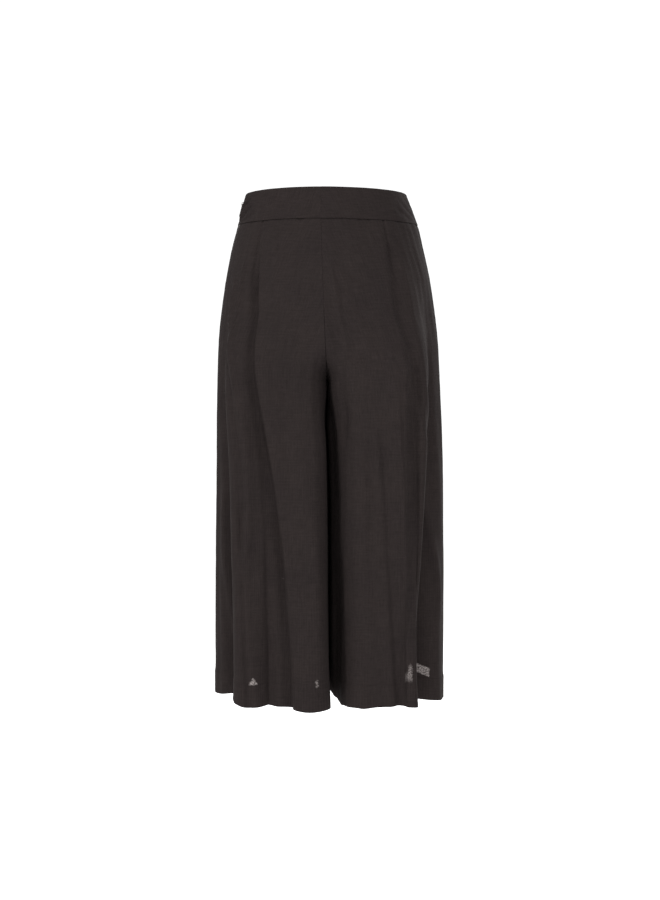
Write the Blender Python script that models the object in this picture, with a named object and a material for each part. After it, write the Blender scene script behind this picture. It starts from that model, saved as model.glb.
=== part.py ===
"""Wide-leg cropped trousers (culottes), filled out as if worn, with open waist and hems.

Metres, +Z up. The front faces -Y, so the wearer's left is +X. The origin is the centre of the
waistband's ring, at the band's mid-height: the wearer's waist holds the garment there.
Each sewn piece is a wall of its own, and neighbours stay one SEAM apart.
"""
import bisect
import math

import bmesh
import bpy
from mathutils import Matrix, Vector

# Driving sizes
SEAM = 0.0003            # gap between neighbouring pieces
CLOTH = 0.0015           # wall of a leg panel
HEM_CLOTH = 0.0031       # the same wall where the hem is turned up
HEM_TURN = 0.038         # height of the turned-up hem
BAND_CLOTH = 0.0024      # waistband: two layers and an interlining
BAND_TOP = 0.0265
BAND_BOTTOM = -0.0265
SEAT_HEIGHT = -0.170     # the legs' sections begin to part here
CROTCH_HEIGHT = -0.290
HEM_HEIGHT = -0.8115
LEG_GAP = 0.0050         # space between the legs' inner sides
GAP_DROP = 0.06          # below the crotch, over which that space opens
LEG_SWAY = 0.0075        # the inner sides wave together by this much, so no light shows between
SWAY_DROP = 0.08         # below the crotch, over which the wave grows
SWAY_LENGTH = 0.21       # from wave to wave, front to back
SWAY_REACH = 0.035       # to either side of the slit

# The figure that the cloth hangs from: how far the cloth reaches from the centre line at each height.
# left is the wearer's left (+X), back is +Y, and seam is how far the centre seam lies towards +X.
# round is the plan's roundness towards the side seam: 2 is an ellipse, more is squarer.
SECTION_COLUMNS = ("height", "left", "right", "back", "front", "seam", "round")
SECTIONS = (
    (0.0265, 0.1335, 0.1355, 0.099, 0.100, 0.007, 1.90),
    (-0.0265, 0.1470, 0.1545, 0.108, 0.105, 0.007, 1.95),
    (-0.0660, 0.1570, 0.1635, 0.118, 0.109, 0.006, 2.05),
    (-0.1260, 0.1680, 0.1755, 0.130, 0.113, 0.004, 2.20),
    (-0.2060, 0.1775, 0.1865, 0.138, 0.118, 0.001, 2.30),
    (-0.3070, 0.1810, 0.1915, 0.137, 0.122, -0.004, 2.35),
    (-0.4180, 0.1815, 0.1955, 0.136, 0.126, -0.010, 2.35),
    (-0.5890, 0.1830, 0.1960, 0.137, 0.131, -0.012, 2.35),
    (-0.8300, 0.1825, 0.1955, 0.138, 0.134, -0.012, 2.35),
)
INNER_ROUND = 4.6        # the plan's roundness at a leg's inner side, where it turns quickly into the slit

# The largest folds. start, middle and hem say how far the fold lies from the side seam, round the cloth,
# at the height where it begins, half-way down and at the hem; depth is out (+) or in (-) at the hem.
FOLD_COLUMNS = ("side", "face", "begins", "start", "middle", "hem", "depth", "width")
FOLDS = (
    ("left", "back", -0.05, 0.118, 0.170, 0.185, -0.014, 0.016),
    ("left", "back", -0.10, 0.085, 0.130, 0.148, 0.016, 0.020),
    ("left", "back", -0.12, 0.050, 0.076, 0.088, -0.042, 0.024),
    ("left", "back", -0.35, 0.240, 0.245, 0.248, 0.030, 0.024),
    ("right", "back", -0.08, 0.100, 0.128, 0.140, 0.014, 0.018),
    ("right", "back", -0.12, 0.052, 0.094, 0.108, -0.050, 0.024),
    ("right", "back", -0.30, 0.150, 0.158, 0.162, -0.010, 0.014),
    ("right", "back", -0.38, 0.235, 0.235, 0.238, 0.010, 0.026),
    ("left", "front", -0.08, 0.105, 0.118, 0.124, 0.014, 0.020),
    ("left", "front", -0.14, 0.050, 0.064, 0.072, -0.026, 0.022),
    ("left", "front", -0.28, 0.180, 0.186, 0.188, -0.012, 0.018),
    ("left", "front", -0.36, 0.238, 0.242, 0.246, 0.012, 0.024),
    ("right", "front", -0.10, 0.098, 0.116, 0.126, 0.015, 0.021),
    ("right", "front", -0.13, 0.048, 0.060, 0.070, -0.028, 0.021),
    ("right", "front", -0.24, 0.165, 0.176, 0.184, -0.013, 0.017),
    ("right", "front", -0.40, 0.240, 0.244, 0.246, 0.010, 0.025),
)
FOLD_GROWTH = 0.8        # a fold deepens with this power of its way down
SIDE_CALM = 0.035        # folds fade out this near the side seam
INSEAM_CALM = 0.05       # and this near the centre seam or inseam
HEM_DROP = 0.15          # an outward fold's hem hangs lower by this share of its depth
HEM_LIFT = {"left": 0.005, "right": 0.0}    # the hem hangs this much higher at the side seam
LIFT_REACH = 0.055       # on either side of it

# Mesh fineness
PANEL_COLUMNS = 26
INNER_SHARE = 0.28       # the share of a panel's columns that spreads over a leg's inner side
OUTER_REACH = (0.92, 0.10)    # what the other columns cover: this share of the hip, and more below it
LEAN_SHARE = 0.12        # the share of columns over which the rows start to follow the crotch's arc
NORMAL_STEP = 0.004      # the surface's tilt is measured over this share of its columns
NORMAL_RISE = 0.002      # and this height
HIP_ROWS = 5             # from the waist seam to the seat
SEAT_ROWS = 8            # from the seat to the crotch
LEG_ROWS = 11            # from the crotch to the turn-up's top
TURN_ROWS = 2            # within the turn-up
TURN_STEP = 0.0008       # height of the step where the turn-up begins
BAND_COLUMNS = 24
BAND_ROWS = 3
OUTLINE_STEPS = 180
ARC_STEPS = 200

# Side zip, in the wearer's left side seam
ZIP_GAP = 0.0012         # the band's ends stand this far apart, for the slider's neck
ZIP_BOTTOM = -0.176
TAPE_TOP = 0.0055
TAPE_HALF_WIDTH = 0.011
TAPE_CLOTH = 0.0010
TAPE_INSET = 0.0009      # from the cloth's inner surface, so the wall's flat facets stay clear of it
TAPE_EASE = 0.018        # below the waist seam, over which the tape moves in behind the thicker band
TAPE_COLUMNS = 4
TAPE_ROWS = 9
SLIDER_HEIGHT = 0.0110   # height of the pull tab's hinge
PULL_WALL = 0.0008
PULL_OUT = 0.0018        # the pull's middle, from the band's outer face

# The slider's blocks, in millimetres from the hinge: out of the cloth, across the seam and up along it
SLIDER_COLUMNS = ("part", "in", "out", "half_width", "low", "high")
SLIDER_BLOCKS = (
    ("back plate", -4.5, -3.0, 3.0, -4.0, 4.5),
    ("neck", -3.5, 0.8, 0.3, -2.4, 2.4),
    ("front plate", 0.3, 1.1, 2.0, -3.6, 3.6),
    ("arch, lower leg", 0.9, 3.4, 0.4, -2.7, -1.7),
    ("arch, upper leg", 0.9, 3.4, 0.4, 1.7, 2.7),
    ("arch, bridge", 2.5, 3.4, 0.4, -2.7, 2.7),
)

# The pull tab's half outline: half widths down its length, in millimetres, and its window
PULL_OUTLINE = ((2.4, 0.4), (2.4, -5.0), (1.8, -8.0), (2.6, -15.8), (2.2, -20.2), (1.0, -22.0))
PULL_WINDOW = ((1.3, -0.4), (1.3, -4.0))


def smooth_step(low, high, value):
    part = min(max((value - low) / (high - low), 0.0), 1.0)
    return part * part * (3 - 2 * part)


def section_value(column, height):
    """One column of SECTIONS at any height, on a smooth curve through the rows."""
    place = SECTION_COLUMNS.index(column)
    heights = [row[0] for row in SECTIONS]
    values = [row[place] for row in SECTIONS]
    last = len(heights) - 1
    below = min(max(sum(h > height for h in heights), 1), last)
    above = below - 1

    def slope(row):
        low, high = min(row + 1, last), max(row - 1, 0)
        return (values[high] - values[low]) / (heights[high] - heights[low])

    span = heights[below] - heights[above]
    t = (height - heights[above]) / span
    return ((2 * t ** 3 - 3 * t ** 2 + 1) * values[above] + (t ** 3 - 2 * t ** 2 + t) * span * slope(above)
            + (3 * t ** 2 - 2 * t ** 3) * values[below] + (t ** 3 - t ** 2) * span * slope(below))


def parting(height):
    """0 where the hips are one round section, 1 from the crotch down, where the legs are two."""
    return smooth_step(0.0, SEAT_HEIGHT - CROTCH_HEIGHT, SEAT_HEIGHT - height)


def half_gap(height):
    below_crotch = smooth_step(0.0, GAP_DROP, CROTCH_HEIGHT - height)
    return SEAM / 2 + (LEG_GAP - SEAM) / 2 * below_crotch


def sway(across, depth, height):
    """Sideways wave of both legs' inner sides, strongest beside the slit."""
    grown = smooth_step(0.0, SWAY_DROP, CROTCH_HEIGHT - height)
    near = math.exp(-(across / SWAY_REACH) ** 2)
    return LEG_SWAY * grown * near * math.sin(math.tau * depth / SWAY_LENGTH)


OUTLINES = {}


def outline(side, face, height):
    """A quarter of the section from centre seam (or inseam) to side seam: lengths round it and points."""
    key = (side, face, round(height, 6))
    if key in OUTLINES:
        return OUTLINES[key]
    seam = section_value("seam", height)
    reach = section_value(side, height) + (-seam if side == "left" else seam)
    depth = section_value(face, height)
    outer_round = section_value("round", height)
    gap = half_gap(height)
    split = parting(height)
    centre = split * (reach + gap) / (1 + split)
    width = reach - centre
    begin = math.pi / 2
    if centre > gap:
        begin = math.acos(min((centre - gap) / width, 1.0) ** (INNER_ROUND / 2))
    points = []
    for step in range(OUTLINE_STEPS + 1):
        angle = begin + (math.pi - begin) * step / OUTLINE_STEPS
        inner = math.cos(angle) > 0
        power = 2 / (INNER_ROUND if inner else outer_round)
        run = abs(math.cos(angle)) ** power * width
        out = abs(math.sin(angle)) ** power * depth
        points.append((centre - run if inner else centre + run, out))
    lengths = [0.0]
    for (x0, y0), (x1, y1) in zip(points, points[1:]):
        lengths.append(lengths[-1] + math.hypot(x1 - x0, y1 - y0))
    OUTLINES[key] = (lengths, points, seam)
    return OUTLINES[key]


def fold_depth(side, face, from_side, from_centre, height):
    """How far the largest folds push the cloth out at a place on a panel."""
    total = 0.0
    for row in FOLDS:
        fold = dict(zip(FOLD_COLUMNS, row))
        if (fold["side"], fold["face"]) != (side, face) or height >= fold["begins"]:
            continue
        t = (fold["begins"] - height) / (fold["begins"] - HEM_HEIGHT)
        line = ((1 - t) * (1 - 2 * t) * fold["start"] + 4 * t * (1 - t) * fold["middle"]
                + t * (2 * t - 1) * fold["hem"])
        grown = min(t, 1.0) ** FOLD_GROWTH
        total += fold["depth"] * grown * math.exp(-((from_side - line) / fold["width"]) ** 2)
    return total * smooth_step(0.0, SIDE_CALM, from_side) * smooth_step(0.0, INSEAM_CALM, from_centre)


def column_place(across, hip, whole, height):
    """A column's distance from the side seam, round the cloth.

    Most columns keep it from waist to hem. The last ones spread out below the hips, where a leg's inner
    side adds cloth between them and the inseam."""
    share = 1 - across
    outer_share = 1 - INNER_SHARE
    reach = hip * (OUTER_REACH[0] + OUTER_REACH[1] * parting(height))
    if share <= outer_share:
        return reach * share / outer_share
    return reach + (whole - reach) * (share - outer_share) / INNER_SHARE


def lean(across):
    """How far a column's rows follow the centre seam's own spacing instead of the level rows."""
    return smooth_step(1 - INNER_SHARE - LEAN_SHARE, 1.0, 1 - across)


def outside_point(side, face, across, height):
    """The outer surface: across runs from 0 at the centre seam or inseam to 1 at the side seam."""
    lengths, points, seam = outline(side, face, height)
    whole = lengths[-1]
    hip = outline(side, face, max(height, SEAT_HEIGHT))[0][-1]
    from_side = column_place(across, hip, whole, height)
    place = whole - from_side
    after = min(max(bisect.bisect_left(lengths, place), 1), len(lengths) - 1)
    part_way = (place - lengths[after - 1]) / (lengths[after] - lengths[after - 1])
    (x0, y0), (x1, y1) = points[after - 1], points[after]
    run = math.hypot(x1 - x0, y1 - y0)
    push = fold_depth(side, face, from_side, place, height)
    x = x0 + (x1 - x0) * part_way - (y1 - y0) / run * push
    y = y0 + (y1 - y0) * part_way + (x1 - x0) / run * push
    hand = 1 if side == "left" else -1
    front = 1 if face == "back" else -1
    y = max(y, 0.0) + SEAM / 2
    x = hand * x + sway(x, front * y, height) + seam
    low = smooth_step(CROTCH_HEIGHT, HEM_HEIGHT, height)
    lift = HEM_LIFT[side] * math.exp(-(from_side / LIFT_REACH) ** 2) - HEM_DROP * push
    return Vector((x, front * y, height + lift * low))


def outward(side, face, across, height):
    """Unit normal of the outer surface, level at the waist seam and the hem."""
    a = outside_point(side, face, min(across + NORMAL_STEP, 1.0), height)
    b = outside_point(side, face, max(across - NORMAL_STEP, 0.0), height)
    top = outside_point(side, face, across, min(height + NORMAL_RISE, BAND_TOP))
    low = outside_point(side, face, across, max(height - NORMAL_RISE, HEM_HEIGHT))
    turn = 1 if (side == "left") == (face == "back") else -1
    normal = (a - b).cross(top - low) * -turn
    if across > 0.999 or (across < 0.001 and height <= CROTCH_HEIGHT):
        normal.y = 0.0
    return normal.normalized()


def inside_point(side, face, across, height, wall, level):
    """The point of the inner surface behind an outer point, kept on the piece's side of each seam."""
    outer = outside_point(side, face, across, height)
    normal = outward(side, face, across, height)
    if level:
        normal = Vector((normal.x, normal.y, 0)).normalized()
    point = outer - normal * wall
    hand = 1 if side == "left" else -1
    front = 1 if face == "back" else -1
    if height > CROTCH_HEIGHT:
        seam = section_value("seam", point.z)
        point.x = seam + hand * max(hand * (point.x - seam), SEAM / 2)
    point.y = front * max(front * point.y, SEAM / 2)
    return point


def crotch_arc(rows):
    """Heights of points spaced evenly along the centre seam's arc, from the seat to the crotch."""
    drop = CROTCH_HEIGHT - SEAT_HEIGHT
    heights = [SEAT_HEIGHT + drop * (step / ARC_STEPS) ** 0.5 for step in range(ARC_STEPS + 1)]
    depths = [outline("left", "back", height)[1][0][1] for height in heights]
    lengths = [0.0]
    for step in range(ARC_STEPS):
        fall = heights[step + 1] - heights[step]
        lengths.append(lengths[-1] + math.hypot(fall, depths[step + 1] - depths[step]))
    even = [bisect.bisect_left(lengths, lengths[-1] * row / rows) for row in range(rows)]
    return [heights[step] for step in even] + [CROTCH_HEIGHT]


def seam_heights():
    """Rows of a panel at the side seam, where they are level, and at the centre seam.

    The centre seam turns under at the crotch, so there the rows are spaced along its arc."""
    top = BAND_BOTTOM - SEAM / 2
    hips = [top + (SEAT_HEIGHT - top) * row / HIP_ROWS for row in range(HIP_ROWS)]
    seat = [SEAT_HEIGHT + (CROTCH_HEIGHT - SEAT_HEIGHT) * row / SEAT_ROWS for row in range(SEAT_ROWS + 1)]
    turn_top = HEM_HEIGHT + HEM_TURN
    legs = [CROTCH_HEIGHT + (turn_top - CROTCH_HEIGHT) * row / LEG_ROWS for row in range(1, LEG_ROWS + 1)]
    under = turn_top - TURN_STEP
    legs += [under + (HEM_HEIGHT - under) * row / TURN_ROWS for row in range(TURN_ROWS + 1)]
    return hips + seat + legs, hips + crotch_arc(SEAT_ROWS) + legs


def make_material(name, colour, roughness, metallic):
    material = bpy.data.materials.new(name)
    material.use_nodes = True
    shader = material.node_tree.nodes["Principled BSDF"]
    shader.inputs["Base Color"].default_value = (*colour, 1.0)
    shader.inputs["Roughness"].default_value = roughness
    shader.inputs["Metallic"].default_value = metallic
    return material


def link_piece(name, bm, material, collection):
    """Turns a bmesh into a named object, shaded smooth, with its faces pointing out."""
    bmesh.ops.recalc_face_normals(bm, faces=bm.faces)
    if bm.calc_volume(signed=True) < 0:
        bmesh.ops.reverse_faces(bm, faces=bm.faces)
    mesh = bpy.data.meshes.new(name)
    bm.to_mesh(mesh)
    bm.free()
    mesh.shade_smooth()
    mesh.set_sharp_from_angle(angle=math.radians(35))
    mesh.materials.append(material)
    piece = bpy.data.objects.new(name, mesh)
    collection.objects.link(piece)
    return piece


def sew_wall(columns, rows, outer_at, inner_at):
    """A closed wall: a flat grid is carried to the outer surface, and a second layer to the inner one.

    Each square is cut along its shorter diagonal before it is doubled, so that both layers bend alike.
    The two functions take a column's share from 0 to 1 and a row's number, and return a point."""
    bm = bmesh.new()
    bmesh.ops.create_grid(bm, x_segments=columns, y_segments=rows, size=0.5)
    share_of = bm.verts.layers.float.new("across")
    row_of = bm.verts.layers.int.new("row")
    for vert in bm.verts:
        vert[share_of] = vert.co.x + 0.5
        vert[row_of] = round((0.5 - vert.co.y) * rows)
        vert.co = outer_at(vert[share_of], vert[row_of])
    bmesh.ops.triangulate(bm, faces=bm.faces, quad_method="SHORT_EDGE")
    bm.normal_update()
    bmesh.ops.solidify(bm, geom=bm.faces, thickness=CLOTH)
    for vert in bm.verts:
        across, row = vert[share_of], vert[row_of]
        outer = outer_at(across, row)
        is_outer = (vert.co - outer).length < CLOTH / 3
        vert.co = outer if is_outer else inner_at(across, row)
    return bm


def make_panel(side, face, material, collection):
    at_side, at_centre = seam_heights()
    last = len(at_side) - 1
    turned = HEM_HEIGHT + HEM_TURN - TURN_STEP / 2

    def height_of(across, row):
        return at_side[row] + (at_centre[row] - at_side[row]) * lean(across)

    def outer(across, row):
        return outside_point(side, face, across, height_of(across, row))

    def inner(across, row):
        wall = HEM_CLOTH if at_side[row] < turned else CLOTH
        return inside_point(side, face, across, height_of(across, row), wall, row in (0, last))

    bm = sew_wall(PANEL_COLUMNS, last, outer, inner)
    return link_piece(f"{face}_{side}_leg", bm, material, collection)


def band_point(face, across, height, inset):
    """The waistband's surface: across runs from the wearer's right side seam to the left one."""
    centre = section_value("right", height) / (section_value("right", height) + section_value("left", height))
    side, share = ("left", (across - centre) / (1 - centre))
    if across < centre:
        side, share = ("right", (centre - across) / centre)
    point = outside_point(side, face, share, height)
    normal = outward(side, face, share, height)
    if share < 0.02:
        normal.x = 0.0
    level = Vector((normal.x, normal.y, 0)).normalized()
    point = point - level * inset
    end_gap = ZIP_GAP if side == "left" else SEAM
    front = 1 if face == "back" else -1
    point.y = front * max(front * point.y, end_gap / 2)
    return point


def make_band(face, material, collection):
    bottom = BAND_BOTTOM + SEAM / 2

    def height_of(row):
        return BAND_TOP + (bottom - BAND_TOP) * row / BAND_ROWS

    def outer(across, row):
        return band_point(face, across, height_of(row), 0.0)

    def inner(across, row):
        return band_point(face, across, height_of(row), BAND_CLOTH)

    bm = sew_wall(BAND_COLUMNS, BAND_ROWS, outer, inner)
    return link_piece(f"waistband_{face}", bm, material, collection)


def make_tape(material, collection):
    """The zip's tape, behind the left side seam: the cloth's own points moved in."""
    def tape_at(across, row, more):
        height = TAPE_TOP + (ZIP_BOTTOM - TAPE_TOP) * row / TAPE_ROWS
        reach = (across - 0.5) * 2 * TAPE_HALF_WIDTH
        face = "back" if reach >= 0 else "front"
        lengths = outline("left", face, height)[0]
        share = 1 - abs(reach) / lengths[-1]
        point = outside_point("left", face, share, height)
        under_band = smooth_step(BAND_BOTTOM - TAPE_EASE, BAND_BOTTOM, height)
        wall = CLOTH + (BAND_CLOTH - CLOTH) * under_band
        normal = outward("left", face, share, height)
        level = Vector((normal.x, normal.y, 0)).normalized()
        point = point - level * (wall + TAPE_INSET + more)
        if reach == 0:
            point.y = 0.0
        return point

    def outer(across, row):
        return tape_at(across, row, 0.0)

    def inner(across, row):
        return tape_at(across, row, TAPE_CLOTH)

    bm = sew_wall(TAPE_COLUMNS, TAPE_ROWS, outer, inner)
    return link_piece("zip_tape", bm, material, collection)


def hinge_place():
    """A frame on the band's outer face at the side seam: X out of the cloth, Z up along it."""
    here = Vector((section_value("left", SLIDER_HEIGHT), 0, SLIDER_HEIGHT))
    below = Vector((section_value("left", -SLIDER_HEIGHT), 0, -SLIDER_HEIGHT))
    up = (here - below).normalized()
    out = Vector((0, 1, 0)).cross(up)
    turn = Matrix((out, Vector((0, 1, 0)), up)).transposed().to_4x4()
    return Matrix.Translation(here) @ turn


def make_block(name, row, material, collection):
    """A box from one row of SLIDER_BLOCKS, at the hinge."""
    block = dict(zip(SLIDER_COLUMNS, row))
    low = Vector((block["in"], -block["half_width"], block["low"])) / 1000
    high = Vector((block["out"], block["half_width"], block["high"])) / 1000
    bm = bmesh.new()
    bmesh.ops.create_cube(bm, size=1.0)
    bmesh.ops.scale(bm, vec=high - low, verts=bm.verts)
    bmesh.ops.translate(bm, vec=(low + high) / 2, verts=bm.verts)
    piece = link_piece(name, bm, material, collection)
    piece.matrix_world = hinge_place()
    return piece


def make_slider(material, collection, cutters):
    """Slider: a plate behind the band, a neck through the seam, and an arch that holds the pull tab."""
    slider = make_block("zip_slider", SLIDER_BLOCKS[0], material, collection)
    for row in SLIDER_BLOCKS[1:]:
        piece = make_block("form_" + row[0], row, material, cutters)
        piece.hide_render = True
        piece.display_type = "WIRE"
        union = slider.modifiers.new(row[0], "BOOLEAN")
        union.operation = "UNION"
        union.object = piece
    return slider


def make_pull(material, collection):
    """Pull tab: a long drop with a window, whose top bar passes under the slider's arch."""
    half = PULL_WALL / 2
    bm = bmesh.new()
    rings = []
    for line in (PULL_OUTLINE, PULL_WINDOW):
        rings.append([(y, z) for y, z in line] + [(-y, z) for y, z in reversed(line)])
    edges = []
    for ring in rings:
        verts = [bm.verts.new((half, y / 1000, z / 1000)) for y, z in ring]
        edges += [bm.edges.new((a, b)) for a, b in zip(verts, verts[1:] + verts[:1])]
    bmesh.ops.triangle_fill(bm, edges=edges, use_beauty=True)
    made = bmesh.ops.extrude_face_region(bm, geom=bm.faces[:])
    moved = [item for item in made["geom"] if isinstance(item, bmesh.types.BMVert)]
    bmesh.ops.translate(bm, verts=moved, vec=(-PULL_WALL, 0, 0))
    pull = link_piece("zip_pull", bm, material, collection)
    pull.matrix_world = hinge_place() @ Matrix.Translation((PULL_OUT, 0, 0))
    return pull


def main():
    for old in list(bpy.data.objects):
        bpy.data.objects.remove(old)
    trousers = bpy.data.collections.new("wide_leg_cropped_trousers")
    cutters = bpy.data.collections.new("cutters")
    for collection in (trousers, cutters):
        bpy.context.scene.collection.children.link(collection)
    cloth = make_material("dark_crepe", (0.030, 0.024, 0.024), 0.85, 0.0)
    tape = make_material("zip_tape", (0.016, 0.014, 0.014), 0.8, 0.0)
    metal = make_material("zip_metal", (0.20, 0.20, 0.19), 0.35, 1.0)
    for side in ("left", "right"):
        for face in ("back", "front"):
            make_panel(side, face, cloth, trousers)
    for face in ("back", "front"):
        make_band(face, cloth, trousers)
    make_tape(tape, trousers)
    make_slider(metal, trousers, cutters)
    make_pull(metal, trousers)


main()
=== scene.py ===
# %% [markdown]
# # Wide-leg cropped trousers
#
# These are culottes in thin brown-black crepe, shown from behind and filled out as if worn.
# The real ones are cut flat, in six pieces: two legs behind, two in front, and a waistband in two halves.
# They are joined along the sides, the centre and the inner legs, and the hem is turned up and caught.
# The frame that is loaded here holds those pieces as plain solid walls at their true size. This script
# dresses them: fine cloth with its creases, seams, darts and turned hem, a zip, and a studio around it.

# %% Load the frame
import bisect
import math

import bmesh
import bpy
from mathutils import Matrix, Vector, noise


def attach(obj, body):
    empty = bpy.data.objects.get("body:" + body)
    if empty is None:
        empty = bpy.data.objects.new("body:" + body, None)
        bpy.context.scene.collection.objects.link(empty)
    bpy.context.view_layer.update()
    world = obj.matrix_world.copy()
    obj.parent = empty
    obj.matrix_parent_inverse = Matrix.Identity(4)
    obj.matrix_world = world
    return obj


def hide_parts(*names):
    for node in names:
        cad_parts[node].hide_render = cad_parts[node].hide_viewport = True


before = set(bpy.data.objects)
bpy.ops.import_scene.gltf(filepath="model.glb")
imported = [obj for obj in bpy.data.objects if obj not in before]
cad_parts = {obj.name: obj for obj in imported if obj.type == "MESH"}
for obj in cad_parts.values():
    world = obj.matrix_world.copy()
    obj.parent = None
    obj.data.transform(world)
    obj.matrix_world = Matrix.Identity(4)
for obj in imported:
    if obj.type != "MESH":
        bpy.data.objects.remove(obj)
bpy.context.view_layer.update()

# %% [markdown]
# ## Camera
#
# The picture was taken from behind, with the lens level at about half the trousers' height, so the
# waistband's edge curves up and the hem's edge curves down. A camera that stands three metres away gives
# those curves. Its lens is worked out from the size of the trousers in the picture.

# %% Camera
CAMERA_PLACE = (-0.0075, 3.0, -0.401)
LENS = 71.6          # millimetres, on a sensor whose long side is 36

camera = bpy.data.objects.new("camera", bpy.data.cameras.new("camera"))
camera.data.lens = LENS
camera.location = CAMERA_PLACE
camera.rotation_euler = (math.radians(90), 0, math.radians(180))
bpy.context.scene.collection.objects.link(camera)
bpy.context.scene.camera = camera
print("camera at", CAMERA_PLACE, "with a lens of", LENS, "mm")

# %% [markdown]
# ## The cut, as sizes
#
# Cloth that hangs from a figure is easiest to describe by how far it reaches from the centre line at a
# few heights. These are the same sizes that the solids were made from, so the fine cloth lies on them.

# %% Sizes of the cut
SEAM = 0.0003            # between two pieces at a seam
BAND_TOP = 0.0265
BAND_BOTTOM = -0.0265
SEAT_HEIGHT = -0.170     # the legs begin to part here
CROTCH_HEIGHT = -0.290
HEM_HEIGHT = -0.8115
HEM_TURN = 0.038         # folded up inside
LEG_GAP = 0.0050         # between the legs, when it has opened over the drop below the crotch
GAP_DROP = 0.06
LEG_SWAY = 0.0075        # the slit's sideways wave, which also grows over a drop below the crotch
SWAY_DROP = 0.08
SWAY_LENGTH = 0.21
SWAY_REACH = 0.035       # and fades this far from the slit
INNER_ROUND = 4.6        # how square a leg's inner side is, where 2 would be an ellipse

SECTION_COLUMNS = ("height", "left", "right", "back", "front", "seam", "round")
SECTIONS = (
    (0.0265, 0.1335, 0.1355, 0.099, 0.100, 0.007, 1.90),
    (-0.0265, 0.1470, 0.1545, 0.108, 0.105, 0.007, 1.95),
    (-0.0660, 0.1570, 0.1635, 0.118, 0.109, 0.006, 2.05),
    (-0.1260, 0.1680, 0.1755, 0.130, 0.113, 0.004, 2.20),
    (-0.2060, 0.1775, 0.1865, 0.138, 0.118, 0.001, 2.30),
    (-0.3070, 0.1810, 0.1915, 0.137, 0.122, -0.004, 2.35),
    (-0.4180, 0.1815, 0.1955, 0.136, 0.126, -0.010, 2.35),
    (-0.5890, 0.1830, 0.1960, 0.137, 0.131, -0.012, 2.35),
    (-0.8300, 0.1825, 0.1955, 0.138, 0.134, -0.012, 2.35),
)

FOLD_COLUMNS = ("side", "face", "begins", "start", "middle", "hem", "depth", "width")
FOLDS = (
    ("left", "back", -0.05, 0.118, 0.170, 0.185, -0.014, 0.016),
    ("left", "back", -0.10, 0.085, 0.130, 0.148, 0.016, 0.020),
    ("left", "back", -0.12, 0.050, 0.076, 0.088, -0.042, 0.024),
    ("left", "back", -0.35, 0.240, 0.245, 0.248, 0.030, 0.024),
    ("right", "back", -0.08, 0.100, 0.128, 0.140, 0.014, 0.018),
    ("right", "back", -0.12, 0.052, 0.094, 0.108, -0.050, 0.024),
    ("right", "back", -0.30, 0.150, 0.158, 0.162, -0.010, 0.014),
    ("right", "back", -0.38, 0.235, 0.235, 0.238, 0.010, 0.026),
    ("left", "front", -0.08, 0.105, 0.118, 0.124, 0.014, 0.020),
    ("left", "front", -0.14, 0.050, 0.064, 0.072, -0.026, 0.022),
    ("left", "front", -0.28, 0.180, 0.186, 0.188, -0.012, 0.018),
    ("left", "front", -0.36, 0.238, 0.242, 0.246, 0.012, 0.024),
    ("right", "front", -0.10, 0.098, 0.116, 0.126, 0.015, 0.021),
    ("right", "front", -0.13, 0.048, 0.060, 0.070, -0.028, 0.021),
    ("right", "front", -0.24, 0.165, 0.176, 0.184, -0.013, 0.017),
    ("right", "front", -0.40, 0.240, 0.244, 0.246, 0.010, 0.025),
)
FOLD_GROWTH = 0.8        # below 1 a fold grows fast at its start
SIDE_CALM = 0.035        # a fold fades over this width beside a side seam
INSEAM_CALM = 0.05       # and over this one beside the centre seam or inseam
HEM_DROP = 0.15          # the hem hangs lower where a fold stands out, by this share of it
HEM_LIFT = {"left": 0.005, "right": 0.0}     # and higher beside a side seam, over the reach
LIFT_REACH = 0.055
INNER_SHARE = 0.28       # the share of a panel's columns on its inner side
OUTER_REACH = (0.92, 0.10)       # how much of its row at the hips the others take, and more where the legs part
LEAN_SHARE = 0.12        # the columns over which level rows turn to the centre seam's own
ARC_STEPS = 200          # points on the curves that are measured
OUTLINE_STEPS = 180
print(len(SECTIONS), "sections and", len(FOLDS), "large folds")

# %% [markdown]
# ## The outer surface
#
# Each quarter of a section is a superellipse, a round box, from the centre seam to the side seam. Below
# the seat it parts into two legs: a leg's quarter starts at its inner side instead. A place on the cloth
# is then given by its height and by its share of the way from the centre seam to the side seam.

# %% Sections
def smooth_step(low, high, value):
    part = min(max((value - low) / (high - low), 0.0), 1.0)
    return part * part * (3 - 2 * part)


def section_value(column, height):
    """One column of SECTIONS at any height, on a smooth curve through the rows."""
    place = SECTION_COLUMNS.index(column)
    heights = [row[0] for row in SECTIONS]
    values = [row[place] for row in SECTIONS]
    last = len(heights) - 1
    below = min(max(sum(h > height for h in heights), 1), last)
    above = below - 1

    def slope(row):
        low, high = min(row + 1, last), max(row - 1, 0)
        return (values[high] - values[low]) / (heights[high] - heights[low])

    span = heights[below] - heights[above]
    t = (height - heights[above]) / span
    return ((2 * t ** 3 - 3 * t ** 2 + 1) * values[above] + (t ** 3 - 2 * t ** 2 + t) * span * slope(above)
            + (3 * t ** 2 - 2 * t ** 3) * values[below] + (t ** 3 - t ** 2) * span * slope(below))


def parting(height):
    """0 where the hips are one round section, 1 from the crotch down, where the legs are two."""
    return smooth_step(0.0, SEAT_HEIGHT - CROTCH_HEIGHT, SEAT_HEIGHT - height)


def half_gap(height):
    below_crotch = smooth_step(0.0, GAP_DROP, CROTCH_HEIGHT - height)
    return SEAM / 2 + (LEG_GAP - SEAM) / 2 * below_crotch


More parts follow.
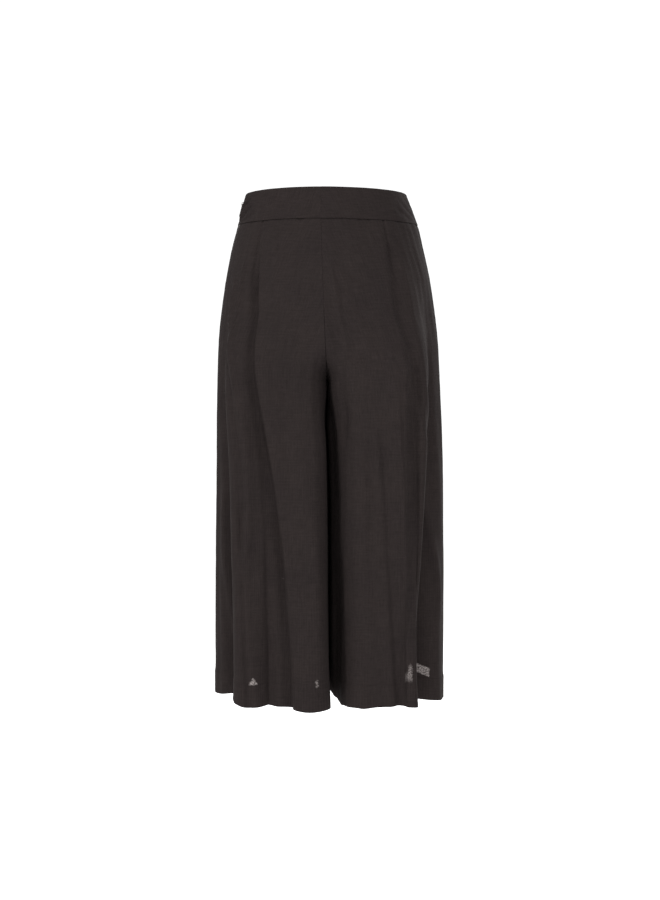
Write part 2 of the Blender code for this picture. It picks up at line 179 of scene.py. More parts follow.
def sway(across, depth, height):
    """Sideways wave of both legs' inner sides, strongest beside the slit."""
    grown = smooth_step(0.0, SWAY_DROP, CROTCH_HEIGHT - height)
    near = math.exp(-(across / SWAY_REACH) ** 2)
    return LEG_SWAY * grown * near * math.sin(math.tau * depth / SWAY_LENGTH)


OUTLINES = {}


def outline(side, face, height):
    """A quarter of the section from centre seam (or inseam) to side seam: lengths round it and points."""
    key = (side, face, round(height, 6))
    if key in OUTLINES:
        return OUTLINES[key]
    seam = section_value("seam", height)
    reach = section_value(side, height) + (-seam if side == "left" else seam)
    depth = section_value(face, height)
    outer_round = section_value("round", height)
    gap = half_gap(height)
    split = parting(height)
    centre = split * (reach + gap) / (1 + split)
    width = reach - centre
    begin = math.pi / 2
    if centre > gap:
        begin = math.acos(min((centre - gap) / width, 1.0) ** (INNER_ROUND / 2))
    points = []
    for step in range(OUTLINE_STEPS + 1):
        angle = begin + (math.pi - begin) * step / OUTLINE_STEPS
        inner = math.cos(angle) > 0
        power = 2 / (INNER_ROUND if inner else outer_round)
        run = abs(math.cos(angle)) ** power * width
        out = abs(math.sin(angle)) ** power * depth
        points.append((centre - run if inner else centre + run, out))
    lengths = [0.0]
    for (x0, y0), (x1, y1) in zip(points, points[1:]):
        lengths.append(lengths[-1] + math.hypot(x1 - x0, y1 - y0))
    OUTLINES[key] = (lengths, points, seam)
    return OUTLINES[key]


def along(t, start, middle, end):
    """The value at a share t of the way on a curve through a start, a middle and an end."""
    return (1 - t) * (1 - 2 * t) * start + 4 * t * (1 - t) * middle + t * (2 * t - 1) * end


PANELS = [(side, face) for side in ("left", "right") for face in ("back", "front")]


def by_panel(columns, table):
    """Each panel's rows of a table, with their columns' names and their place in the table as a seed."""
    rows = [dict(zip(columns, row), seed=number) for number, row in enumerate(table)]
    return {panel: [row for row in rows if (row["side"], row["face"]) == panel] for panel in PANELS}


PANEL_FOLDS = by_panel(FOLD_COLUMNS, FOLDS)


def fold_depth(side, face, from_side, from_centre, height):
    """How far the largest folds push the cloth out at a place on a panel."""
    total = 0.0
    for fold in PANEL_FOLDS[side, face]:
        if height >= fold["begins"]:
            continue
        t = (fold["begins"] - height) / (fold["begins"] - HEM_HEIGHT)
        line = along(t, fold["start"], fold["middle"], fold["hem"])
        grown = min(t, 1.0) ** FOLD_GROWTH
        total += fold["depth"] * grown * math.exp(-((from_side - line) / fold["width"]) ** 2)
    return total * smooth_step(0.0, SIDE_CALM, from_side) * smooth_step(0.0, INSEAM_CALM, from_centre)


def distances(side, face, across, height):
    """How far a place lies from the side seam and from the centre seam, round the cloth."""
    whole = outline(side, face, height)[0][-1]
    hip = outline(side, face, max(height, SEAT_HEIGHT))[0][-1]
    share = 1 - across
    outer_share = 1 - INNER_SHARE
    reach = hip * (OUTER_REACH[0] + OUTER_REACH[1] * parting(height))
    from_side = reach * share / outer_share
    if share > outer_share:
        from_side = reach + (whole - reach) * (share - outer_share) / INNER_SHARE
    return from_side, whole - from_side


def outside_point(side, face, across, height):
    """The outer surface: across runs from 0 at the centre seam or inseam to 1 at the side seam."""
    from_side, place = distances(side, face, across, height)
    lengths, points, seam = outline(side, face, height)
    after = min(max(bisect.bisect_left(lengths, place), 1), len(lengths) - 1)
    part_way = (place - lengths[after - 1]) / (lengths[after] - lengths[after - 1])
    (x0, y0), (x1, y1) = points[after - 1], points[after]
    run = math.hypot(x1 - x0, y1 - y0)
    push = fold_depth(side, face, from_side, place, height)
    x = x0 + (x1 - x0) * part_way - (y1 - y0) / run * push
    y = y0 + (y1 - y0) * part_way + (x1 - x0) / run * push
    hand = 1 if side == "left" else -1
    front = 1 if face == "back" else -1
    y = max(y, 0.0) + SEAM / 2
    x = hand * x + sway(x, front * y, height) + seam
    low = smooth_step(CROTCH_HEIGHT, HEM_HEIGHT, height)
    lift = HEM_LIFT[side] * math.exp(-(from_side / LIFT_REACH) ** 2) - HEM_DROP * push
    return Vector((x, front * y, height + lift * low))


hip_round = sum(outline(side, face, SEAT_HEIGHT)[0][-1] for side, face in PANELS)
print("round the hips:", round(hip_round, 3), "m")

# %% [markdown]
# ## Creases
#
# Thin crepe hangs in long uneven folds. Each is a soft trough or ridge that wanders down the cloth and
# is steeper on one side than the other, because gravity pulls the cloth over the edge of the fold. They
# could be left to a cloth simulation, but then they would fall anywhere. Here each is placed at its own
# distance from the side seam, and slow noise makes its line and depth uneven.
#
# A row says at which heights a crease begins and ends, how far from the side seam it runs at its start,
# middle and end, how deep it is, and how wide it is towards the centre and towards the side.

# %% Creases
CREASE_COLUMNS = ("side", "face", "top", "bottom", "start", "middle", "end", "depth", "inward", "sideward")
CREASES = (
    # left leg, behind: the long fold that leaves the dart, then the ridges of the outer part
    ("left", "back", -0.026, -0.830, 0.095, 0.183, 0.219, -0.0098, 0.0044, 0.0098),
    ("left", "back", -0.026, -0.830, 0.104, 0.192, 0.234, 0.0036, 0.030, 0.006),
    ("left", "back", -0.100, -0.640, 0.055, 0.141, 0.138, 0.0052, 0.010, 0.0035),
    ("left", "back", -0.100, -0.640, 0.046, 0.131, 0.129, -0.0040, 0.003, 0.009),
    ("left", "back", -0.080, -0.330, 0.084, 0.104, 0.119, 0.0030, 0.0025, 0.0030),
    ("left", "back", -0.110, -0.300, 0.070, 0.094, 0.112, 0.0028, 0.0030, 0.0025),
    ("left", "back", -0.430, -0.830, 0.060, 0.064, 0.112, 0.0054, 0.014, 0.005),
    ("left", "back", -0.330, -0.830, 0.036, 0.042, 0.050, -0.0036, 0.008, 0.009),
    ("left", "back", -0.470, -0.830, 0.142, 0.149, 0.162, -0.0052, 0.003, 0.006),
    ("left", "back", -0.520, -0.790, 0.252, 0.255, 0.250, 0.0028, 0.008, 0.006),
    ("left", "back", -0.330, -0.830, 0.272, 0.272, 0.268, 0.0024, 0.020, 0.020),
    # right leg, behind
    ("right", "back", -0.300, -0.830, 0.305, 0.305, 0.305, -0.0070, 0.020, 0.032),
    ("right", "back", -0.200, -0.830, 0.154, 0.161, 0.149, 0.0058, 0.024, 0.0035),
    ("right", "back", -0.280, -0.830, 0.171, 0.165, 0.153, 0.0030, 0.0032, 0.0026),
    ("right", "back", -0.230, -0.830, 0.138, 0.144, 0.132, -0.0110, 0.007, 0.014),
    ("right", "back", -0.280, -0.700, 0.118, 0.084, 0.062, 0.0036, 0.006, 0.007),
    ("right", "back", -0.340, -0.830, 0.201, 0.187, 0.173, -0.0056, 0.0056, 0.014),
    ("right", "back", -0.370, -0.690, 0.219, 0.216, 0.213, -0.0026, 0.009, 0.007),
    ("right", "back", -0.110, -0.420, 0.243, 0.259, 0.268, -0.0044, 0.014, 0.009),
    ("right", "back", -0.150, -0.380, 0.013, 0.016, 0.018, -0.0020, 0.005, 0.004),
    ("right", "back", -0.060, -0.330, 0.228, 0.240, 0.262, 0.0030, 0.014, 0.006),
    ("right", "back", -0.028, -0.400, 0.104, 0.142, 0.112, -0.0042, 0.004, 0.018),
    ("right", "back", -0.028, -0.360, 0.113, 0.150, 0.122, 0.0030, 0.020, 0.005),
    # left leg, in front
    ("left", "front", -0.040, -0.830, 0.102, 0.148, 0.168, 0.0040, 0.022, 0.006),
    ("left", "front", -0.040, -0.830, 0.093, 0.137, 0.157, -0.0058, 0.005, 0.018),
    ("left", "front", -0.120, -0.600, 0.050, 0.090, 0.102, 0.0036, 0.007, 0.005),
    ("left", "front", -0.300, -0.830, 0.198, 0.204, 0.200, -0.0042, 0.010, 0.012),
    ("left", "front", -0.400, -0.760, 0.228, 0.224, 0.230, 0.0028, 0.008, 0.009),
    ("left", "front", -0.100, -0.380, 0.236, 0.250, 0.262, -0.0038, 0.012, 0.009),
    # right leg, in front
    ("right", "front", -0.040, -0.830, 0.098, 0.150, 0.172, -0.0060, 0.005, 0.020),
    ("right", "front", -0.040, -0.830, 0.108, 0.161, 0.184, 0.0034, 0.028, 0.006),
    ("right", "front", -0.110, -0.560, 0.052, 0.098, 0.110, 0.0040, 0.006, 0.005),
    ("right", "front", -0.330, -0.830, 0.044, 0.050, 0.058, -0.0034, 0.008, 0.008),
    ("right", "front", -0.420, -0.830, 0.224, 0.220, 0.232, 0.0030, 0.009, 0.008),
    ("right", "front", -0.120, -0.360, 0.238, 0.254, 0.264, -0.0034, 0.012, 0.010),
    # left leg, behind: where the cloth turns down into the long fold
    ("left", "back", -0.370, -0.830, 0.160, 0.173, 0.174, 0.0044, 0.014, 0.012),
)
CREASE_RISE = 0.16       # a crease grows over this share of its length
CREASE_FALL = 0.20       # and fades over this share, unless it runs out through the hem
CREASE_WANDER = 0.0022   # how far its line drifts to either side
CREASE_UNEVEN = 0.45     # and how much its depth comes and goes
WANDER_LENGTH = 0.085
UNEVEN_LENGTH = 1.3 * WANDER_LENGTH
CREASE_EDGE = 2.6        # widths from its line, past which a crease adds nothing

PANEL_CREASES = by_panel(CREASE_COLUMNS, CREASES)


def drift(seed, place, length):
    """Slow noise from -1 to 1 along a line, the same each time."""
    return noise.noise(Vector((place / length, 5.3 * seed + 0.37, 0.61)))


def crease_depth(side, face, from_side, height):
    total = 0.0
    for crease in PANEL_CREASES[side, face]:
        if not crease["bottom"] < height < crease["top"]:
            continue
        t = (crease["top"] - height) / (crease["top"] - crease["bottom"])
        line = along(t, crease["start"], crease["middle"], crease["end"])
        line += CREASE_WANDER * drift(crease["seed"], height, WANDER_LENGTH)
        off = from_side - line
        width = crease["inward"] if off > 0 else crease["sideward"]
        if abs(off) > CREASE_EDGE * width:
            continue
        grown = smooth_step(0.0, CREASE_RISE, t)
        if crease["bottom"] > HEM_HEIGHT:
            grown *= smooth_step(0.0, CREASE_FALL, 1 - t)
        grown *= 1 + CREASE_UNEVEN * drift(crease["seed"] + 50, height, UNEVEN_LENGTH)
        total += crease["depth"] * grown * math.exp(-(off / width) ** 2)
    return total


print(len(CREASES), "creases by hand")

# %% [markdown]
# ## Darts, seams and small unevenness
#
# A dart is a wedge that is folded away inside and sewn, so that flat cloth goes round the hips. Outside
# it shows as a fine sunk line that runs out to nothing. Where two pieces are sewn, the thread draws the
# cloth up a little, and it puckers in short ripples across the seam. Between the folds, the cloth is
# never quite smooth.

# %% Darts, seams and ripples
DART_COLUMNS = ("side", "face", "bottom", "start", "end")
DARTS = (
    ("left", "back", -0.150, 0.093, 0.119),
    ("right", "back", -0.145, 0.107, 0.136),
    ("left", "front", -0.115, 0.100, 0.112),
    ("right", "front", -0.118, 0.103, 0.116),
)
DART_DEPTH = 0.0020
DART_WIDTH = 0.0021
DART_PUFF = 0.0016       # the cloth swells below the dart's point
PUFF_SIZE = (0.022, 0.045)
PUCKER_DEPTH = 0.00060
PUCKER_LENGTH = 0.011    # from ripple to ripple along a seam
PUCKER_REACH = 0.012     # how far they run from it
PUCKER_SLANT = 0.03      # and over what distance their pattern changes
WAIST_PUCKER, HEM_PUCKER = 1.3, 0.8      # how strong they are there, against the other seams
WAIST_CALM = 0.012       # creases grow over this far below the waist seam
CROTCH_CALM = 0.03       # and the seams lie still this close to where the four panels meet
RIPPLES = ((0.0018, 0.042, 0.32), (0.0013, 0.013, 0.150), (0.00022, 0.0070, 0.024))    # depth, width, height
HEM_STEP = 0.0010        # the turned-up hem stands out by this much
STEP_EDGE = 0.0015       # from this far above its inner edge to this far below
HEM_SAG = 0.0022         # the hem's edge goes up and down by this much
SAG_LENGTH = 0.021
INSEAM_RISE, INSEAM_REACH = 0.030, 0.115     # the hem is drawn up this much, up to this far from the inseam
SIDE_RISE = {"left": 0.0065, "right": 0.0}   # and this much beside the side seam
SIDE_REACH = {"back": (0.125, 0.168), "front": (0.0, 0.060)}     # where that starts to fade, and is gone
RISE_HEIGHT = 0.11       # the pull fades out this far above the hem
SLACK = {"left": 11.0, "right": 23.0}    # seeds
SEAM_CALM = 0.02         # the cloth is held still this far from a seam, so that both its sides meet

PANEL_DARTS = by_panel(DART_COLUMNS, DARTS)


def dart_depth(side, face, from_side, height):
    total = 0.0
    for dart in PANEL_DARTS[side, face]:
        t = (BAND_BOTTOM - height) / (BAND_BOTTOM - dart["bottom"])
        off = from_side - (dart["start"] + (dart["end"] - dart["start"]) * t)
        if t < 1:
            total -= DART_DEPTH * (1 - t ** 3) * math.exp(-(off / DART_WIDTH) ** 2)
        swell = math.exp(-(off / PUFF_SIZE[0]) ** 2 - ((height - dart["bottom"]) / PUFF_SIZE[1]) ** 2)
        total += DART_PUFF * swell
    return total


def pucker(seed, place, distance):
    """Short ripples across a seam, strongest beside it."""
    wave = noise.noise(Vector((place / PUCKER_LENGTH, seed, distance / PUCKER_SLANT)))
    return PUCKER_DEPTH * wave * math.exp(-(distance / PUCKER_REACH) ** 2)


def ripple_depth(ripples, seed, from_side, height):
    total = 0.0
    for depth, wide, tall in ripples:
        total += depth * noise.noise(Vector((from_side / wide, height / tall, seed)))
    return total


def seam_calm(from_side, from_centre):
    return smooth_step(0.0, SEAM_CALM, from_side) * smooth_step(0.0, SEAM_CALM, from_centre)


def relief(side, face, from_side, from_centre, height):
    """How far the cloth stands out from its plain surface at a place on a leg panel."""
    seed = SLACK[side] + (3.0 if face == "back" else 7.0)
    calm = seam_calm(from_side, from_centre)
    below_waist = smooth_step(0.0, WAIST_CALM, BAND_BOTTOM - height)
    total = calm * below_waist * crease_depth(side, face, from_side, height)
    total += dart_depth(side, face, from_side, height)
    total += calm * ripple_depth(RIPPLES, seed, from_side, height)
    # The numbers added here are seeds. Both sides of a seam pucker together, so the centre seam's seed is
    # its face's, and the others' are their leg's.
    centre_seed = SLACK[side] + 60.0 if height < CROTCH_HEIGHT else (71.0 if face == "back" else 83.0)
    at_crotch = smooth_step(0.0, CROTCH_CALM, abs(height - CROTCH_HEIGHT))
    total += pucker(SLACK[side], height, from_side) + at_crotch * pucker(centre_seed, height, from_centre)
    total += WAIST_PUCKER * calm * pucker(seed + 2, from_side, BAND_BOTTOM - height)
    turn_top = HEM_HEIGHT + HEM_TURN
    total += HEM_STEP * smooth_step(-STEP_EDGE, STEP_EDGE, turn_top - height)
    total += HEM_PUCKER * calm * pucker(seed + 3, from_side, abs(turn_top - height))
    return total


def hem_sag(side, face, from_side, from_centre, height):
    """The hem's edge: small waves up and down, drawn up at the inseam and on the left leg's outer side."""
    seed = SLACK[side] + (5.0 if face == "back" else 9.0)
    near = smooth_step(HEM_TURN, 0.0, height - HEM_HEIGHT) * seam_calm(from_side, from_centre)
    waves = HEM_SAG * near * noise.noise(Vector((from_side / SAG_LENGTH, seed, 0.2)))
    rise = INSEAM_RISE * (1 - smooth_step(0.0, INSEAM_REACH, from_centre))
    rise += SIDE_RISE[side] * (1 - smooth_step(*SIDE_REACH[face], from_side))
    return waves + rise * smooth_step(RISE_HEIGHT, 0.0, height - HEM_HEIGHT)


# %% [markdown]
# ## A leg panel
#
# A panel starts as a flat grid, which is what cloth on the table is. Every point of it is carried to its
# place on the surface and then moved out or in by the relief. Three things make it read as sewn cloth
# and not as a skin. Its edges roll inwards, so a seam is a real groove, and behind each seam one panel's
# allowance is pressed over the other's edge. Its hem is folded under and runs back up inside. And the
# cloth is given a thin wall at the end.
#
# At the crotch the centre seam turns under, so the rows there follow the seam's arc.

# %% Rows and columns
PANEL_COLUMNS, HIP_ROWS, SEAT_ROWS, LEG_ROWS, TURN_ROWS = 190, 40, 42, 122, 8
CLOTH_WALL = 0.0005      # crepe with its bulk
ROLL = 0.0004            # a seam's edge lies this much deeper than the cloth beside it
ALLOWANCE = 0.007        # one panel's allowance is pressed over the seam, which also closes it to light
ALLOWANCE_STEP = 0.0022  # it first goes in by this much, to pass behind the other panel's edge
WAIST_ALLOWANCE = 0.35   # the share of it that fits under the band
ZIP_ALLOWANCE = 0.0015   # beside the zip, where the tape lies close behind
ZIP_BOTTOM = -0.176
TURN_INSET = 0.0021      # from the outer cloth to the layer that is folded up inside
TURN_DROP = 0.0006       # the fold's own round edge hangs this much lower
NORMAL_STEP = 0.004      # a normal is measured between points this far apart, as a share of the width
NORMAL_RISE = 0.002      # and in height
ON_SEAM = 0.001          # a column this close to a panel's edge is on the seam


def lean(across):
    """How far a column's rows follow the centre seam's own spacing instead of the level rows."""
    return smooth_step(1 - INNER_SHARE - LEAN_SHARE, 1.0, 1 - across)


def crotch_arc(rows):
    """Heights of points spaced evenly along the centre seam's arc, from the seat to the crotch."""
    drop = CROTCH_HEIGHT - SEAT_HEIGHT
    heights = [SEAT_HEIGHT + drop * (step / ARC_STEPS) ** 0.5 for step in range(ARC_STEPS + 1)]
    depths = [outline("left", "back", height)[1][0][1] for height in heights]
    lengths = [0.0]
    for step in range(ARC_STEPS):
        fall = heights[step + 1] - heights[step]
        lengths.append(lengths[-1] + math.hypot(fall, depths[step + 1] - depths[step]))
    made = []
    for row in range(rows):
        wanted = lengths[-1] * row / rows
        after = max(bisect.bisect_left(lengths, wanted), 1)
        share = (wanted - lengths[after - 1]) / (lengths[after] - lengths[after - 1])
        made.append(heights[after - 1] + (heights[after] - heights[after - 1]) * share)
    return made + [CROTCH_HEIGHT]


def seam_heights():
    """Rows of a panel at the side seam, where they are level, and at the centre seam."""
    top = BAND_BOTTOM - SEAM / 2
    hips = [top + (SEAT_HEIGHT - top) * row / HIP_ROWS for row in range(HIP_ROWS)]
    seat = [SEAT_HEIGHT + (CROTCH_HEIGHT - SEAT_HEIGHT) * row / SEAT_ROWS for row in range(SEAT_ROWS + 1)]
    legs = [CROTCH_HEIGHT + (HEM_HEIGHT - CROTCH_HEIGHT) * row / LEG_ROWS for row in range(1, LEG_ROWS + 1)]
    return hips + seat + legs, hips + crotch_arc(SEAT_ROWS) + legs


AT_SIDE, AT_CENTRE = seam_heights()
print("rows:", len(AT_SIDE), "columns:", PANEL_COLUMNS + 1)


def within_seam(normal, across, height):
    """On a seam the cloth may only move within the seam's own plane, so that its two sides still meet."""
    if across > 1 - ON_SEAM or (across < ON_SEAM and height <= CROTCH_HEIGHT + 0.0001):
        normal = Vector((normal.x, 0.0, normal.z))
    if across < ON_SEAM and height >= CROTCH_HEIGHT - 0.0001:
        normal = Vector((0.0, normal.y, normal.z))
    return normal.normalized()


def outward(side, face, across, height):
    """Unit normal of the plain outer surface."""
    a = outside_point(side, face, min(across + NORMAL_STEP, 1.0), height)
    b = outside_point(side, face, max(across - NORMAL_STEP, 0.0), height)
    top = outside_point(side, face, across, min(height + NORMAL_RISE, BAND_TOP))
    low = outside_point(side, face, across, max(height - NORMAL_RISE, HEM_HEIGHT))
    turn = 1 if (side == "left") == (face == "back") else -1
    return within_seam((a - b).cross(top - low) * -turn, across, height)


def cloth_point(side, face, across, height, inset=0.0):
    """A place on the finished cloth, or behind it."""
    from_side, from_centre = distances(side, face, across, height)
    out = relief(side, face, from_side, from_centre, height) - inset
    point = outside_point(side, face, across, height) + outward(side, face, across, height) * out
    point.z += hem_sag(side, face, from_side, from_centre, height)
    return point


# %% Sew the leg panels
UV_PLACES = {("left", "back"): 0.0, ("right", "back"): 1.0, ("left", "front"): 2.0, ("right", "front"): 3.0}


def new_object(name, bm, wall=0.0):
    """An object from a bmesh. A sheet of cloth is also given a thin wall, on its inner side."""
    mesh = bpy.data.meshes.new(name)
    bm.to_mesh(mesh)
    bm.free()
    mesh.shade_smooth()
    made = bpy.data.objects.new(name, mesh)
    bpy.context.scene.collection.objects.link(made)
    if wall:
        solid = made.modifiers.new("wall", "SOLIDIFY")
        solid.thickness = wall
        solid.offset = -1.0
    return made


def lay_flat(bm, place_of):
    """A UV map in metres on the flat cloth, from a function that gives a vertex its place."""
    uv = bm.loops.layers.uv.new("cloth")
    for face in bm.faces:
        for loop in face.loops:
            loop[uv].uv = place_of(loop.vert)


def open_edges(bm, verts):
    """Edges between some vertices that have a face on one side only."""
    verts = set(verts)
    return [edge for edge in bm.edges if edge.is_boundary and verts.issuperset(edge.verts)]


def extruded(bm, edges):
    made = bmesh.ops.extrude_edge_only(bm, edges=edges)
    return [item for item in made["geom"] if isinstance(item, bmesh.types.BMVert)]


def fold_in(bm, edges, moves):
    """Extrudes open edges. A new vertex makes the move that is given for the place it grew from."""
    for vert in extruded(bm, edges):
        vert.co += moves[tuple(vert.co)]


def sew_panel(side, face):
    rows = len(AT_SIDE) - 1
    bm = bmesh.new()
    bmesh.ops.create_grid(bm, x_segments=PANEL_COLUMNS, y_segments=rows, size=0.5)
    across_of = bm.verts.layers.float.new("across")
    row_of = bm.verts.layers.int.new("row")
    height_of = bm.verts.layers.float.new("height")
    for vert in bm.verts:
        across, row = vert.co.x + 0.5, round((0.5 - vert.co.y) * rows)
        height = AT_SIDE[row] + (AT_CENTRE[row] - AT_SIDE[row]) * lean(across)
        vert[across_of], vert[row_of], vert[height_of] = across, row, height
        vert.co = outside_point(side, face, across, height)
    if (side == "left") == (face == "back"):
        bmesh.ops.reverse_faces(bm, faces=bm.faces)
    bm.normal_update()
    moves, inwards = [], {}
    for vert in bm.verts:
        across, height = vert[across_of], vert[height_of]
        from_side, from_centre = distances(side, face, across, height)
        normal = within_seam(vert.normal, across, height)
        move = normal * relief(side, face, from_side, from_centre, height)
        move.z += hem_sag(side, face, from_side, from_centre, height)
        if vert.is_boundary:
            inwards[vert] = -normal
            move -= normal * (ROLL if vert[row_of] < rows else 0.0)
        moves.append(move)
    for vert, move in zip(bm.verts, moves):
        vert.co += move

    # The hem: one row rounds the fold, and the others run up inside.
    hem = open_edges(bm, [vert for vert in bm.verts if vert[row_of] == rows])
    for step in range(-1, TURN_ROWS + 1):
        rounding = step < 0
        new = extruded(bm, hem)
        for vert in new:
            height = HEM_HEIGHT + HEM_TURN * max(step, 0) / TURN_ROWS
            vert.co = cloth_point(side, face, vert[across_of], height, TURN_INSET * (0.5 if rounding else 1.0))
            vert.co.z -= TURN_DROP if rounding else 0.0
            vert[row_of] = rows + 2 + step
            vert[height_of] = height
        hem = open_edges(bm, new)

    # The seams: left lies over right at the centre, and back over front elsewhere, but not beside the zip.
    for seam, at in (("centre", 0.0), ("side", 1.0)):
        edge_verts = [vert for vert in inwards if abs(vert[across_of] - at) < 0.0001]
        starts = {tuple(vert.co): (inwards[vert], vert[height_of]) for vert in edge_verts}
        turned = extruded(bm, open_edges(bm, edge_verts))
        moves = {}
        for vert in turned:
            inward, height = starts[tuple(vert.co)]
            at_centre = seam == "centre" and height > CROTCH_HEIGHT
            by_zip = side == "left" and seam == "side" and height > ZIP_BOTTOM
            lies_over = (side == "left" if at_centre else face == "back") and not by_zip
            over = Vector((-1, 0, 0)) if at_centre else Vector((0, -1, 0))
            vert.co += inward * (ALLOWANCE_STEP if lies_over else ZIP_ALLOWANCE if by_zip else ROLL)
            moves[tuple(vert.co)] = over * ALLOWANCE if lies_over else inward * ROLL
        fold_in(bm, open_edges(bm, turned), moves)
    top = [vert for vert in inwards if vert[row_of] == 0]
    moves = {tuple(vert.co): inwards[vert] * ALLOWANCE * WAIST_ALLOWANCE for vert in top}
    fold_in(bm, open_edges(bm, top), moves)

    def on_cloth(vert):
        from_side = distances(side, face, vert[across_of], vert[height_of])[0]
        return UV_PLACES[side, face] + from_side, vert[height_of]

    lay_flat(bm, on_cloth)
    return new_object(f"{face}_{side}_leg_cloth", bm, CLOTH_WALL)


panels = {panel: sew_panel(*panel) for panel in PANELS}
for panel in panels.values():
    print(panel.name, len(panel.data.polygons), "faces")

# %% [markdown]
# ## The waistband
#
# A waistband is a strip folded over lengthwise round an interlining, so it is stiffer than the legs and
# has a round top edge and a second layer inside. Where it was eased onto the side seams it creases
# slantwise: sharply beside the zip, softly on the other side. The strip is modelled as one closed
# flat tube: up the outside, over the top and down the inside.

# %% Waistband
BAND_CLOTH = 0.0024
ZIP_GAP = 0.0012
BAND_LAP = 0.003         # on the side without a zip the back half's inner layer laps over the seam
BY_ZIP_DEPTH = 0.0018    # creases go no deeper beside the zip, where its tape lies close behind
FREE_DEPTH = 0.003       # away from it they may go deeper by this much
ZIP_REACH = (0.014, 0.034)       # between these distances from the side seam that is let go
LINING_CALM = 0.2        # the inner layer is this much smoother
GROOVE_DEPTH, GROOVE_WIDTH = 0.0006, 0.0014      # the band's edge along the waist seam
FOOT_EDGE = (0.0004, 0.0006)     # the strip's lower edge: its round corner, and the groove between its layers
BAND_WANDER, BAND_WANDER_LENGTH = 0.0012, 0.4    # how far a crease leaves its line, over which share of it
ENDS_PAST = 0.05         # it goes on past its line's ends by this share
GROWS_OVER, FADES_OVER = 0.25, 0.45
BAND_COLUMNS, FACE_ROWS, LINING_ROWS = ((230, 30, 12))
ROUND_ROWS = 6
BAND_CREASE_COLUMNS = ("side", "face", "from_side", "height", "to_side", "to_height", "bow", "depth", "width")
BAND_CREASES = (
    ("left", "back", 0.008, -0.0255, 0.064, 0.0060, 0.0020, -0.0046, 0.0030),
    ("left", "back", 0.004, -0.0160, 0.052, 0.0170, 0.0030, -0.0040, 0.0030),
    ("left", "back", 0.003, -0.0040, 0.036, 0.0235, 0.0020, -0.0036, 0.0028),
    ("left", "back", 0.030, -0.0255, 0.084, -0.0060, 0.0020, -0.0024, 0.0034),
    ("left", "back", 0.006, -0.0205, 0.056, 0.0110, 0.0030, 0.0034, 0.0022),
    ("left", "back", 0.004, -0.0100, 0.042, 0.0205, 0.0030, 0.0032, 0.0022),
    ("left", "back", 0.003, 0.0050, 0.022, 0.0250, 0.0010, -0.0018, 0.0024),
    ("right", "back", 0.006, -0.0230, 0.058, 0.0160, -0.0060, -0.0017, 0.0040),
    ("right", "back", 0.004, -0.0080, 0.040, 0.0230, -0.0040, -0.0016, 0.0036),
    ("right", "back", 0.022, -0.0255, 0.078, 0.0040, -0.0050, -0.0012, 0.0042),
    ("left", "front", 0.006, -0.0230, 0.050, 0.0080, 0.0020, -0.0022, 0.0032),
    ("left", "front", 0.004, -0.0080, 0.034, 0.0200, 0.0020, -0.0018, 0.0028),
    ("left", "front", 0.024, -0.0255, 0.070, -0.0040, 0.0020, -0.0013, 0.0034),
    ("right", "front", 0.005, -0.0200, 0.052, 0.0140, -0.0040, -0.0017, 0.0036),
    ("right", "front", 0.020, -0.0255, 0.070, 0.0020, -0.0040, -0.0012, 0.0038),
)
BAND_RIPPLES = ((0.0013, 0.050, 0.030), (0.00045, 0.014, 0.010), (0.00018, 0.005, 0.004))

HALF_BAND_CREASES = by_panel(BAND_CREASE_COLUMNS, BAND_CREASES)


def band_crease_depth(side, face, from_side, height):
    """Slanting creases: each is a bowed line from one place to another, deepest in its middle."""
    total = 0.0
    for crease in HALF_BAND_CREASES[side, face]:
        begin = Vector((crease["from_side"], crease["height"]))
        run = Vector((crease["to_side"], crease["to_height"])) - begin
        here = Vector((from_side, height)) - begin
        t = here.dot(run) / run.length_squared
        bowed = here.cross(run) / run.length + crease["bow"] * math.sin(math.pi * min(max(t, 0), 1))
        bowed += BAND_WANDER * drift(crease["seed"] + 90, t, BAND_WANDER_LENGTH)
        ends = smooth_step(-ENDS_PAST, GROWS_OVER, t) * smooth_step(-ENDS_PAST, FADES_OVER, 1 - t)
        total += crease["depth"] * ends * math.exp(-(bowed / crease["width"]) ** 2)
    return total


def band_relief(side, face, from_side, height):
    seed = SLACK[side] + (31.0 if face == "back" else 37.0)
    total = band_crease_depth(side, face, from_side, height)
    total += ripple_depth(BAND_RIPPLES, seed, from_side, height)
    total += pucker(seed, from_side, height - BAND_BOTTOM)
    total -= GROOVE_DEPTH * math.exp(-((height - BAND_BOTTOM) / GROOVE_WIDTH) ** 2)
    return max(total, -BY_ZIP_DEPTH - FREE_DEPTH * smooth_step(*ZIP_REACH, from_side))


def band_point(face, across, height, inset):
    """The waistband: across runs from the wearer's right side seam to the left one."""
    right, left = section_value("right", height), section_value("left", height)
    centre = right / (right + left)
    side, share = ("left", (across - centre) / (1 - centre))
    if across < centre:
        side, share = ("right", (centre - across) / centre)
    point = outside_point(side, face, share, height)
    normal = outward(side, face, share, height)
    if share < 0.02:
        normal.x = 0.0
    from_side = distances(side, face, share, height)[0]
    calm = 1 - LINING_CALM * smooth_step(0, BAND_CLOTH, inset)
    out = band_relief(side, face, from_side, height) * calm - inset
    point += Vector((normal.x, normal.y, 0)).normalized() * out
    behind = 1 if face == "back" else -1
    end = ZIP_GAP / 2
    if side == "right":
        end = SEAM / 2 - behind * BAND_LAP * smooth_step(0.5, 1.0, inset / BAND_CLOTH)
    point.y = behind * (end if share > 0.9999 else max(behind * point.y, end))
    return point, (from_side if side == "left" else -from_side)


